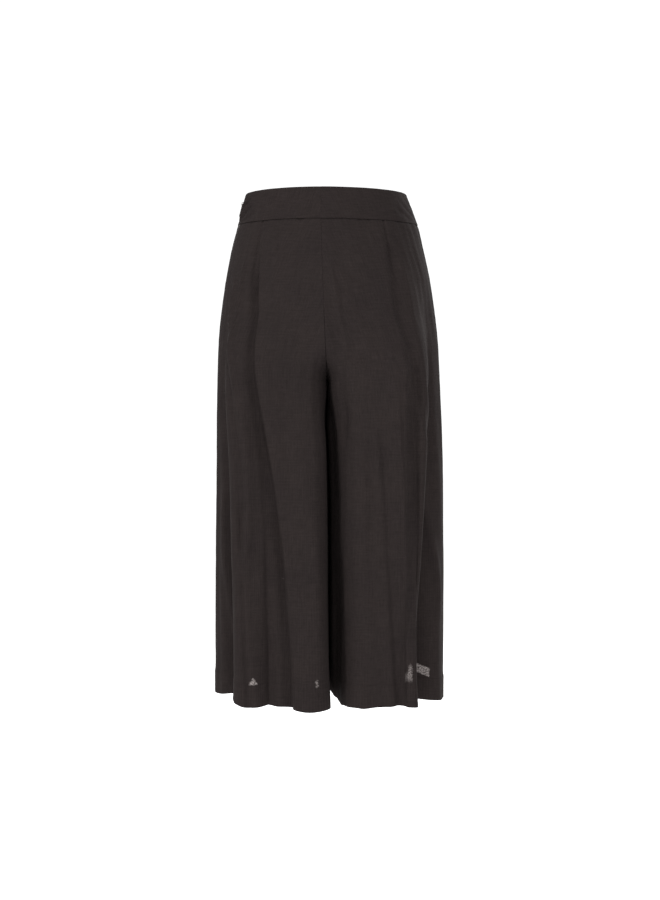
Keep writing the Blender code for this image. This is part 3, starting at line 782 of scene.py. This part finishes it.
def band_profile():
    """Heights and insets round the folded strip, from its bottom seam over the top and down inside."""
    bottom, half = BAND_BOTTOM + SEAM / 2, BAND_CLOTH / 2
    straight, foot = BAND_TOP - half, bottom + FOOT_EDGE[0]
    path = [(bottom + FOOT_EDGE[1], half), (bottom, half * 0.5)]
    path += [(foot + (straight - foot) * row / FACE_ROWS, 0.0) for row in range(FACE_ROWS)]
    for step in range(ROUND_ROWS + 1):
        angle = math.pi * step / ROUND_ROWS
        path.append((straight + half * math.sin(angle), half - half * math.cos(angle)))
    for row in range(1, LINING_ROWS + 1):
        path.append((straight + (bottom - straight) * row / LINING_ROWS, BAND_CLOTH))
    return path + [(bottom, half * 1.5)]


def sew_band(face):
    path = band_profile()
    rows = len(path) - 1
    bm = bmesh.new()
    bmesh.ops.create_grid(bm, x_segments=BAND_COLUMNS, y_segments=rows, size=0.5)
    u_of = bm.verts.layers.float.new("round_waist")
    v_of = bm.verts.layers.float.new("up_band")
    for vert in bm.verts:
        across, row = vert.co.x + 0.5, round((0.5 - vert.co.y) * rows)
        height, inset = path[row]
        vert.co, vert[u_of] = band_point(face, across, height, inset)
        vert[v_of] = height if inset < BAND_CLOTH / 2 else 2 * BAND_TOP - height
    place = 4.0 if face == "back" else 5.0       # past the leg panels' places
    lay_flat(bm, lambda vert: (place + vert[v_of], vert[u_of]))
    ends_of = {edge: [vert.co.z for vert in edge.verts] for edge in bm.edges if edge.is_boundary}
    bottoms = [edge for edge, (a, b) in ends_of.items() if abs(a - b) < 0.0002 and a < BAND_BOTTOM + 0.002]
    bmesh.ops.bridge_loops(bm, edges=bottoms)
    bmesh.ops.holes_fill(bm, edges=[edge for edge in bm.edges if edge.is_boundary], sides=0)
    bmesh.ops.recalc_face_normals(bm, faces=bm.faces)
    print("waistband", face, "closed:", all(not edge.is_boundary for edge in bm.edges))
    return new_object(f"waistband_{face}_cloth", bm)


bands = {face: sew_band(face) for face in ("back", "front")}

# %% [markdown]
# ## The zip
#
# A waist this close has to open. The zip lies in the wearer's left side seam: a woven tape behind the
# cloth, a coil of nylon sewn along it, and a metal slider with a pull tab. The tape follows the cloth's
# own points, further in. The slider and the tab are small castings with round edges. The coil is one
# small loop, repeated down the seam, and it is squeezed where it passes between the waistband's ends.

# %% Zip tape
TAPE_TOP = 0.0055
TAPE_HALF_WIDTH = 0.011      # before columns spread beside a side seam, which makes it 14 mm
TAPE_CLOTH = 0.0007
TAPE_DEPTH = 0.0024      # from the outer cloth to the tape
BAND_TAPE_DEPTH = 0.0033     # and behind the thicker waistband
TAPE_EASE = 0.018        # below the waist seam, over which the tape moves in
TAPE_COLUMNS, TAPE_ROWS = 12, 60


def under_band(height):
    return smooth_step(BAND_BOTTOM - TAPE_EASE, BAND_BOTTOM, height)


def tape_depth(height):
    return TAPE_DEPTH + (BAND_TAPE_DEPTH - TAPE_DEPTH) * under_band(height)


def make_tape():
    bm = bmesh.new()
    bmesh.ops.create_grid(bm, x_segments=TAPE_COLUMNS, y_segments=TAPE_ROWS, size=0.5)
    reach_of, height_of = (bm.verts.layers.float.new(name) for name in ("reach", "height"))
    for vert in bm.verts:
        reach = 2 * TAPE_HALF_WIDTH * vert.co.x
        height = ZIP_BOTTOM + (TAPE_TOP - ZIP_BOTTOM) * (vert.co.y + 0.5)
        face = "back" if reach > 0 else "front"
        share = 1 - abs(reach) / outline("left", face, height)[0][-1]
        normal = outward("left", face, share, height)
        level = Vector((normal.x, normal.y, 0)).normalized()
        vert[reach_of], vert[height_of] = reach, height
        vert.co = outside_point("left", face, share, height) - level * tape_depth(height)
        if abs(reach) < TAPE_HALF_WIDTH / TAPE_COLUMNS:
            vert.co.y = 0.0
    lay_flat(bm, lambda vert: (vert[reach_of], vert[height_of]))
    bmesh.ops.reverse_faces(bm, faces=bm.faces)
    return new_object("zip_tape_cloth", bm, TAPE_CLOTH)


tape = make_tape()
print("tape faces look out:", sum(face.normal.x for face in tape.data.polygons) > 0)

# %% Zip coil
COIL_PITCH = 0.0013
COIL_WIRE = 0.00020
COIL_RADII = (0.00062, 0.0015)       # into the cloth, and along it
COIL_SQUEEZED = 0.00038              # along it, between the waistband's ends
COIL_TILT = math.radians(14)
CHAIN_TOP = 0.0040


def make_chain():
    bm = bmesh.new()
    turns = round((CHAIN_TOP - ZIP_BOTTOM) / COIL_PITCH)
    for turn in range(turns):
        height = ZIP_BOTTOM + COIL_PITCH * (turn + 0.5)
        wide = COIL_RADII[1] + (COIL_SQUEEZED - COIL_RADII[1]) * under_band(height)
        ring = bmesh.ops.create_circle(bm, segments=5, radius=COIL_WIRE)["verts"]
        bmesh.ops.rotate(bm, verts=ring, matrix=Matrix.Rotation(math.radians(90), 3, "X"))
        bmesh.ops.translate(bm, verts=ring, vec=(COIL_RADII[0], 0, 0))
        edges = list({edge for vert in ring for edge in vert.link_edges})
        bmesh.ops.spin(bm, geom=edges, cent=(0, 0, 0), axis=(0, 0, 1), angle=math.tau, steps=12, use_merge=True)
        loop = [vert for vert in bm.verts if not vert.tag]
        for vert in loop:
            vert.tag = True
            vert.co.y *= wide / COIL_RADII[0]
        inward = tape_depth(height) - COIL_RADII[0] - COIL_WIRE
        place = Vector((section_value("left", height) - inward, 0, height))
        bmesh.ops.rotate(bm, verts=loop, matrix=Matrix.Rotation(COIL_TILT, 3, "X"))
        bmesh.ops.translate(bm, verts=loop, vec=place)
    bmesh.ops.recalc_face_normals(bm, faces=bm.faces)
    print("zip coil:", turns, "turns", len(bm.faces), "faces")
    return new_object("zip_chain", bm)


chain = make_chain()

# %% Slider
SLIDER_HEIGHT = 0.0110
SLIDER_BLOCKS = (        # two corners and the round of the edges, in millimetres
    ((-4.5, -3.0, -4.0), (-3.0, 3.0, 4.5), 0.5),     # the plate behind the coil
    ((-3.5, -0.3, -2.4), (0.8, 0.3, 2.4), 0.1),      # the neck through the seam
    ((0.3, -2.0, -3.6), (1.1, 2.0, 3.6), 0.35),      # the plate in front
    ((0.9, -0.45, -2.8), (3.3, 0.45, -1.9), 0.3),    # the loop's two feet
    ((0.9, -0.45, 1.9), (3.3, 0.45, 2.8), 0.3),
    ((2.6, -0.45, -2.8), (3.4, 0.45, 2.8), 0.35),    # and its bar, on which the tab swings
)


def hinge_place():
    """A frame on the band's outer face at the side seam: X out of the cloth, Z up along it."""
    here = Vector((section_value("left", SLIDER_HEIGHT), 0, SLIDER_HEIGHT))
    below = Vector((section_value("left", -SLIDER_HEIGHT), 0, -SLIDER_HEIGHT))
    up = (here - below).normalized()
    turn = Matrix((Vector((0, 1, 0)).cross(up), Vector((0, 1, 0)), up)).transposed().to_4x4()
    return Matrix.Translation(here) @ turn


def rounded_block(bm, low, high, edge):
    """A box between two corners in millimetres, with round edges."""
    low, high = Vector(low) / 1000, Vector(high) / 1000
    made = bmesh.ops.create_cube(bm, size=1.0)["verts"]
    bmesh.ops.scale(bm, vec=high - low, verts=made)
    bmesh.ops.translate(bm, vec=(low + high) / 2, verts=made)
    edges = list({edge_ for vert in made for edge_ in vert.link_edges})
    bmesh.ops.bevel(bm, geom=edges, offset=edge / 1000, offset_type="OFFSET", segments=3, profile=0.5,
                    affect="EDGES", material=-1)


def make_slider():
    bm = bmesh.new()
    for low, high, edge in SLIDER_BLOCKS:
        rounded_block(bm, low, high, edge)
    bmesh.ops.transform(bm, matrix=hinge_place(), verts=bm.verts)
    return new_object("zip_slider_metal", bm)


slider = make_slider()
print("slider:", len(slider.data.polygons), "faces")

# %% Pull tab
PULL_OUT = 0.0018
PULL_WALL = 0.0008
PULL_EDGE = 0.00022      # the round of its rims, which are edges with more than this angle
RIM_ANGLE = math.radians(60)
PULL_HALF_WIDTHS = ((0.4, 1.9), (0.0, 2.4), (-2.6, 2.45), (-5.0, 2.3), (-8.0, 1.85), (-11.5, 2.0), (-15.8, 2.6),
                    (-18.6, 2.7), (-20.6, 2.2), (-21.6, 1.4), (-22.0, 0.5))
PULL_WINDOW = ((-0.4, 1.2), (-0.9, 1.35), (-3.2, 1.35), (-4.0, 0.9))


def make_pull():
    bm = bmesh.new()
    edges = []
    for line in (PULL_HALF_WIDTHS, PULL_WINDOW):
        ring = [(wide, high) for high, wide in line] + [(-wide, high) for high, wide in reversed(line)]
        verts = [bm.verts.new((PULL_WALL / 2, y / 1000, z / 1000)) for y, z in ring]
        edges += [bm.edges.new(pair) for pair in zip(verts, verts[1:] + verts[:1])]
    bmesh.ops.triangle_fill(bm, edges=edges, use_beauty=True)
    made = bmesh.ops.extrude_face_region(bm, geom=bm.faces[:])
    moved = [item for item in made["geom"] if isinstance(item, bmesh.types.BMVert)]
    bmesh.ops.translate(bm, verts=moved, vec=(-PULL_WALL, 0, 0))
    bmesh.ops.recalc_face_normals(bm, faces=bm.faces)
    bm.normal_update()
    rims = [edge for edge in bm.edges if edge.calc_face_angle(0) > RIM_ANGLE]
    bmesh.ops.bevel(bm, geom=rims, offset=PULL_EDGE, offset_type="OFFSET", segments=2, profile=0.5,
                    affect="EDGES", material=-1)
    bmesh.ops.transform(bm, matrix=hinge_place() @ Matrix.Translation((PULL_OUT, 0, 0)), verts=bm.verts)
    return new_object("zip_pull_tab", bm)


pull_tab = make_pull()
print("pull tab:", len(pull_tab.data.polygons), "faces")

# %% [markdown]
# ## Hem stitches
#
# The turned hem is caught all round by small stitches in thread of the cloth's own colour, just below
# the fold's inner edge. Each is a short grain pressed into the cloth. Drawn in a texture they would not
# catch the light, so they are tiny solids of twenty faces, one shape moved along the hem.

# %% Hem stitches
STITCH_LENGTH = 0.0022
STITCH_STEP = 0.0036
STITCH_THREAD = 0.00024
STITCH_BELOW = 0.0022    # below the turned hem's inner edge
STITCH_OUT = 0.00005     # its middle stands proud of the cloth by this much
STITCH_AIM = 0.006       # it points at the cloth this share of the row further on


def stitch_hem(side, face):
    bm = bmesh.new()
    height = HEM_HEIGHT + HEM_TURN - STITCH_BELOW
    whole = outline(side, face, height)[0][-1]
    count = round(whole / STITCH_STEP)
    for number in range(1, count):
        across = number / count
        here = cloth_point(side, face, across, height, -STITCH_OUT)
        there = cloth_point(side, face, min(across + STITCH_AIM, 1.0), height, -STITCH_OUT)
        tangent = (there - here).normalized()
        out = outward(side, face, across, height)
        turn = Matrix((tangent, out, tangent.cross(out))).transposed().to_4x4()
        shape = Matrix.Diagonal((STITCH_LENGTH / 2, STITCH_THREAD, STITCH_THREAD, 1.0))
        place = Matrix.Translation(here) @ turn @ shape
        bmesh.ops.create_icosphere(bm, subdivisions=1, radius=1.0, matrix=place)
    print(face, side, "hem:", count - 1, "stitches")
    return new_object(f"{face}_{side}_hem_stitches", bm)


stitches = {key: stitch_hem(*key) for key in panels}

# %% [markdown]
# ## Materials
#
# Colours are read off as the hex values that a screen shows, and one function turns them into the
# linear light that a shader works in. One more small function adds a node with its settings and links.

# %% Colour and nodes
def linear(code):
    """An sRGB hex colour as linear red, green, blue and alpha."""
    parts = [int(code[place:place + 2], 16) / 255 for place in (1, 3, 5)]
    return tuple(p / 12.92 if p <= 0.04045 else ((p + 0.055) / 1.055) ** 2.4 for p in parts) + (1.0,)


def set_inputs(tree, node, inputs):
    """Each input is given a value, or an output socket that is linked to it."""
    for name, value in inputs.items():
        if isinstance(value, bpy.types.NodeSocket):
            tree.links.new(value, node.inputs[name])
        else:
            node.inputs[name].default_value = value


def add_node(tree, kind, inputs=None, **settings):
    node = tree.nodes.new("ShaderNode" + kind)
    for name, value in settings.items():
        setattr(node, name, value)
    set_inputs(tree, node, inputs or {})
    return node


def new_material(name):
    material = bpy.data.materials.new(name)
    material.use_nodes = True
    return material, material.node_tree, material.node_tree.nodes["Principled BSDF"]


# %% [markdown]
# ### Crepe
#
# This cloth is a light viscose crepe. Its yarns are twisted so hard that the weave crinkles into a fine
# pebble, which takes away the shine and leaves a soft bloom where the light grazes it: that is sheen.
# The colour is a very dark warm brown. The yarns lie 0.35 mm apart on the real cloth. They are drawn
# 2.4 mm apart here, because finer ones would not show. Slow changes in the tone come from how the dye took.

# %% Weave
YARN_STEP = 0.0024       # coarser than the real 0.35 mm, so that it shows
SLUB_SIZE = (0.0022, 0.022)      # thicker stretches of yarn: their width, also drawn coarse, and length
BAND_SHARE = 0.25        # how strong the even bands are, against the slubs
PEBBLE = 0.0022
WAVE_PERIOD = 0.314      # a wave texture of scale 1 repeats at this length


def yarns(tree, cloth, direction):
    """One of the two sets of yarns: even bands with slubs, which are uneven streaks along them."""
    wave = add_node(tree, "TexWave", {"Vector": cloth, "Scale": WAVE_PERIOD / YARN_STEP, "Distortion": 1.5,
                                      "Detail": 2.0, "Detail Scale": 1.5}, bands_direction=direction)
    across, length = (1 / size for size in SLUB_SIZE)
    stretch = (across, length, 1.0) if direction == "X" else (length, across, 1.0)
    place = add_node(tree, "Mapping", {"Vector": cloth, "Scale": stretch}).outputs[0]
    slub = add_node(tree, "TexNoise", {"Vector": place, "Scale": 1.0, "Detail": 2.0}).outputs["Fac"]
    uneven = add_node(tree, "Math", {0: wave.outputs["Fac"], 1: BAND_SHARE, 2: slub}, operation="MULTIPLY_ADD")
    return uneven.outputs[0]


# %% [markdown]
# ### Painted light, where the cloth shows pale
#
# The crepe is thin enough to let light through. Just above the turned-up hem there are small places
# where only one layer of it hangs in front of the bright studio, and they show pale. That light is
# painted into the cloth's colour here, as painted light. Their edges are the edges of the layers
# behind, so they are sharp and slanting. One thread is also pulled on the left leg, and it is painted
# in the same pale colour. Each place is a slanting box on the cloth, or one with a peaked top, and the
# weave breaks up its rim.

# %% Painted light through the cloth, and a pulled thread
PAINTED_LIGHT_AND_SNAG_COLUMNS = ("side", "face", "from_side", "height", "half_width", "half_height", "slant", "peak", "soft",
                "strength")
# Painted light: every row but the last is a place where light through the cloth is painted pale; the last row
# is the pulled thread.
PAINTED_LIGHT_AND_SNAG_PLACES = (
    ("left", "back", 0.1625, -0.7700, 0.0046, 0.0062, 0.00, 2.3, 0.30, 0.85),
    ("left", "back", 0.2510, -0.7675, 0.0013, 0.0070, 0.00, 2.0, 0.50, 0.65),
    ("right", "back", 0.1530, -0.7570, 0.0024, 0.0160, 0.00, 3.0, 0.50, 0.55),
    ("right", "back", 0.1570, -0.7640, 0.0052, 0.0090, -0.60, 0.5, 0.90, 0.40),
    ("right", "back", 0.0885, -0.7635, 0.0064, 0.0074, 0.50, 0.0, 0.10, 0.85),
    ("left", "back", 0.2060, -0.6070, 0.0030, 0.0007, 0.10, 0.0, 0.60, 0.20),
)
SPECK = 0.0017           # the pale tone changes in grains of this size
SPECK_RANGE = (0.36, 0.66)       # and this range of their noise takes it from dark to light
FRAY = 0.005             # how far the weave pushes a rim to either side, for each unit of its noise


def painted_light_and_snag_share(tree, cloth, place, weave):
    """From 0 to 1: how far a place on the cloth lies within one of the painted pale places: light through the
    cloth, and one pulled thread.
    """
    centre = (UV_PLACES[place["side"], place["face"]] + place["from_side"] + FRAY / 2, place["height"], 0.0)
    here = add_node(tree, "VectorMath", {0: cloth, 1: centre}, operation="SUBTRACT").outputs[0]
    parts = add_node(tree, "SeparateXYZ", {0: here}).outputs
    wide = add_node(tree, "Math", {0: weave, 1: FRAY, 2: parts[0]}, operation="MULTIPLY_ADD").outputs[0]
    level = add_node(tree, "Math", {0: wide, 1: -place["slant"], 2: parts[1]},
                     operation="MULTIPLY_ADD").outputs[0]
    wide, tall = (add_node(tree, "Math", {0: part}, operation="ABSOLUTE").outputs[0] for part in (wide, level))
    top = add_node(tree, "Math", {0: wide, 1: place["peak"], 2: level}, operation="MULTIPLY_ADD").outputs[0]
    tall = add_node(tree, "Math", {0: tall, 1: top}, operation="MAXIMUM").outputs[0]
    wide = add_node(tree, "Math", {0: wide, 1: place["half_width"]}, operation="DIVIDE").outputs[0]
    tall = add_node(tree, "Math", {0: tall, 1: place["half_height"]}, operation="DIVIDE").outputs[0]
    rim = add_node(tree, "Math", {0: wide, 1: tall}, operation="MAXIMUM").outputs[0]
    return add_node(tree, "MapRange", {"Value": rim, "From Min": 1.0 - place["soft"], "From Max": 1.05,
                                       "To Min": place["strength"], "To Max": 0.0}).outputs[0]


# %% Crepe
def crepe():
    material, tree, shader = new_material("viscose_crepe")
    cloth = add_node(tree, "UVMap", uv_map="cloth").outputs["UV"]
    warp, weft = yarns(tree, cloth, "X"), yarns(tree, cloth, "Y")
    weave = add_node(tree, "Math", {0: warp, 1: weft}, operation="ADD").outputs[0]
    pebble = add_node(tree, "TexNoise", {"Vector": cloth, "Scale": 1 / PEBBLE, "Detail": 3.0,
                                         "Roughness": 0.6}).outputs["Fac"]
    tone = add_node(tree, "TexNoise", {"Vector": cloth, "Scale": 16.0, "Detail": 4.0}).outputs["Fac"]
    height = add_node(tree, "Math", {0: weave, 1: pebble}, operation="ADD").outputs[0]
    bump = add_node(tree, "Bump", {"Height": height, "Strength": 0.5, "Distance": 0.0006})
    dyed = add_node(tree, "MixRGB", {0: tone, 1: linear("#1F1B1B"), 2: linear("#25201F")}).outputs[0]
    grain = add_node(tree, "MapRange", {"Value": height, "From Min": 1.3, "From Max": 2.2, "To Min": 0.78,
                                        "To Max": 1.22}).outputs[0]
    colour = add_node(tree, "MixRGB", {0: 1.0, 1: dyed, 2: grain}, blend_type="MULTIPLY").outputs[0]
    speck = add_node(tree, "TexNoise", {"Vector": cloth, "Scale": 1 / SPECK, "Detail": 2.0}).outputs["Fac"]
    speck = add_node(tree, "MapRange", {"Value": speck, "From Min": SPECK_RANGE[0],
                                        "From Max": SPECK_RANGE[1]}).outputs[0]
    # Painted light: the pale colour of light coming through the cloth, which also colours the pulled thread.
    painted_light_and_snag_tone = add_node(tree, "MixRGB", {0: speck, 1: linear("#3A3534"), 2: linear("#8C8583")}).outputs[0]
    for row in PAINTED_LIGHT_AND_SNAG_PLACES:
        share = painted_light_and_snag_share(tree, cloth, dict(zip(PAINTED_LIGHT_AND_SNAG_COLUMNS, row)), pebble)
        colour = add_node(tree, "MixRGB", {0: share, 1: colour, 2: painted_light_and_snag_tone}).outputs[0]
    set_inputs(tree, shader, {
        "Base Color": colour, "Normal": bump.outputs["Normal"], "Roughness": 0.80, "Specular IOR Level": 0.02,
        "Sheen Weight": 0.012, "Sheen Roughness": 0.5, "Sheen Tint": linear("#C9BEBB"),
    })
    return material


crepe_cloth = crepe()

# %% [markdown]
# ### Tape, coil, metal and thread
#
# The zip's tape is a tight polyester twill, the coil is dyed nylon and shines a little, and the slider
# is zinc with a dark plating whose tone varies in a fine grain. The thread is spun polyester
# in the colour of the cloth.

# %% Zip and thread
TWILL_STEP = 0.0006
PLATING_GRAIN = 0.0008
NYLON_GRAIN = 0.0006
FIBRE_GRAIN = 0.0004


def zip_tape():
    material, tree, shader = new_material("polyester_twill_tape")
    cloth = add_node(tree, "UVMap", uv_map="cloth").outputs["UV"]
    turned = add_node(tree, "Mapping", {"Vector": cloth, "Rotation": (0.0, 0.0, math.radians(45))})
    twill = add_node(tree, "TexWave", {"Vector": turned.outputs[0], "Scale": WAVE_PERIOD / TWILL_STEP,
                                       "Distortion": 0.6}, bands_direction="X").outputs["Fac"]
    colour = add_node(tree, "MixRGB", {0: twill, 1: linear("#1B1918"), 2: linear("#2A2725")}).outputs[0]
    bump = add_node(tree, "Bump", {"Height": twill, "Strength": 0.4, "Distance": 0.00015})
    set_inputs(tree, shader, {"Base Color": colour, "Normal": bump.outputs["Normal"], "Roughness": 0.65})
    return material


def plain_finish(name, dark, light, grain, roughness, others):
    """A finish whose tone and gloss vary with a fine grain of real size. The others are more inputs."""
    material, tree, shader = new_material(name)
    place = add_node(tree, "TexCoord").outputs["Object"]
    speck = add_node(tree, "TexNoise", {"Vector": place, "Scale": 1 / grain, "Detail": 3.0}).outputs["Fac"]
    colour = add_node(tree, "MixRGB", {0: speck, 1: linear(dark), 2: linear(light)}).outputs[0]
    gloss = add_node(tree, "MapRange", {"Value": speck, "To Min": roughness - 0.08, "To Max": roughness + 0.1})
    bump = add_node(tree, "Bump", {"Height": speck, "Strength": 0.15, "Distance": grain / 8})
    set_inputs(tree, shader, {
        "Base Color": colour, "Roughness": gloss.outputs[0], "Normal": bump.outputs["Normal"], **others,
    })
    return material


tape_twill = zip_tape()
plated_zinc = plain_finish("dark_plated_zinc", "#4B4A48", "#8A8885", PLATING_GRAIN, 0.32, {"Metallic": 1.0})
nylon_coil = plain_finish("dyed_nylon_coil", "#1E1B1A", "#2C2826", NYLON_GRAIN, 0.38, {})
spun_thread = plain_finish("spun_polyester_thread", "#151211", "#201B1A", FIBRE_GRAIN, 0.8,
                           {"Specular IOR Level": 0.05})

# %% Dress and ride
def dress(piece, material, slot, body, *nodes):
    piece.data.materials.clear()
    piece.data.materials.append(material)
    if nodes:
        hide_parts(*nodes)
    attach(piece, body)


for (side, face), panel in panels.items():
    dress(panel, crepe_cloth, "cloth", "trousers", f"{face}_{side}_leg")
    dress(stitches[side, face], spun_thread, "cloth", "trousers")
for face, band in bands.items():
    dress(band, crepe_cloth, "cloth", "trousers", f"waistband_{face}")
dress(tape, tape_twill, "zip_tape", "trousers", "zip_tape")
dress(chain, nylon_coil, "zip_tape", "trousers")
dress(slider, plated_zinc, "zip_metal", "trousers", "zip_slider")
dress(pull_tab, plated_zinc, "zip_metal", "pull", "zip_pull")

# %% [markdown]
# ## The flat cut
#
# Cloth neither stretches nor shrinks. A leg panel is as wide as its row at the hem, along all its
# folds, plus an allowance on each side. It is as long as from the waist seam to the turned-up hem's raw
# edge.

# %% [markdown]
# ## The studio
#
# The trousers float in front of pure white, lit so softly that there is hardly a shadow. A white world
# gives that light from all round. Behind and in front, a stronger lamp at one side and a weaker one near
# the middle add a little direction, which draws the ridges of the folds. The floor is where the wearer
# would stand.

# %% Studio
FLOOR_HEIGHT = -1.10
FLOOR_SIZE = 14.0
LAMP_COLUMNS = ("name", "place", "size", "watts")
LAMPS = (
    ("key behind", (2.3, 2.2, 0.7), 0.5, 52.0),
    ("fill behind", (-0.7, 3.1, 0.6), 0.5, 36.0),
    ("key in front", (-2.3, -2.2, 0.7), 0.5, 52.0),
    ("fill in front", (0.7, -3.1, 0.6), 0.5, 36.0),
)
AIM = Vector((0.0, 0.0, -0.40))

bm = bmesh.new()
bmesh.ops.create_grid(bm, x_segments=1, y_segments=1, size=FLOOR_SIZE / 2)
bmesh.ops.translate(bm, vec=(0, 0, FLOOR_HEIGHT), verts=bm.verts)
floor = new_object("floor", bm)
painted, painted_tree, painted_shader = new_material("painted_floor")
painted_shader.inputs["Base Color"].default_value = linear("#FCFCFC")
painted_shader.inputs["Roughness"].default_value = 0.9
floor.data.materials.append(painted)

for row in LAMPS:
    lamp = dict(zip(LAMP_COLUMNS, row))
    light = bpy.data.lights.new(lamp["name"], "AREA")
    light.size = lamp["size"]
    light.energy = lamp["watts"]
    holder = bpy.data.objects.new(lamp["name"], light)
    holder.location = lamp["place"]
    holder.rotation_euler = (AIM - Vector(lamp["place"])).to_track_quat("-Z", "Y").to_euler()
    bpy.context.scene.collection.objects.link(holder)

world = bpy.data.worlds.new("white_studio")
world.use_nodes = True
world.node_tree.nodes["Background"].inputs["Color"].default_value = (1.0, 1.0, 1.0, 1.0)
world.node_tree.nodes["Background"].inputs["Strength"].default_value = 1.1
bpy.context.scene.world = world
bpy.context.scene.view_settings.view_transform = "Standard"
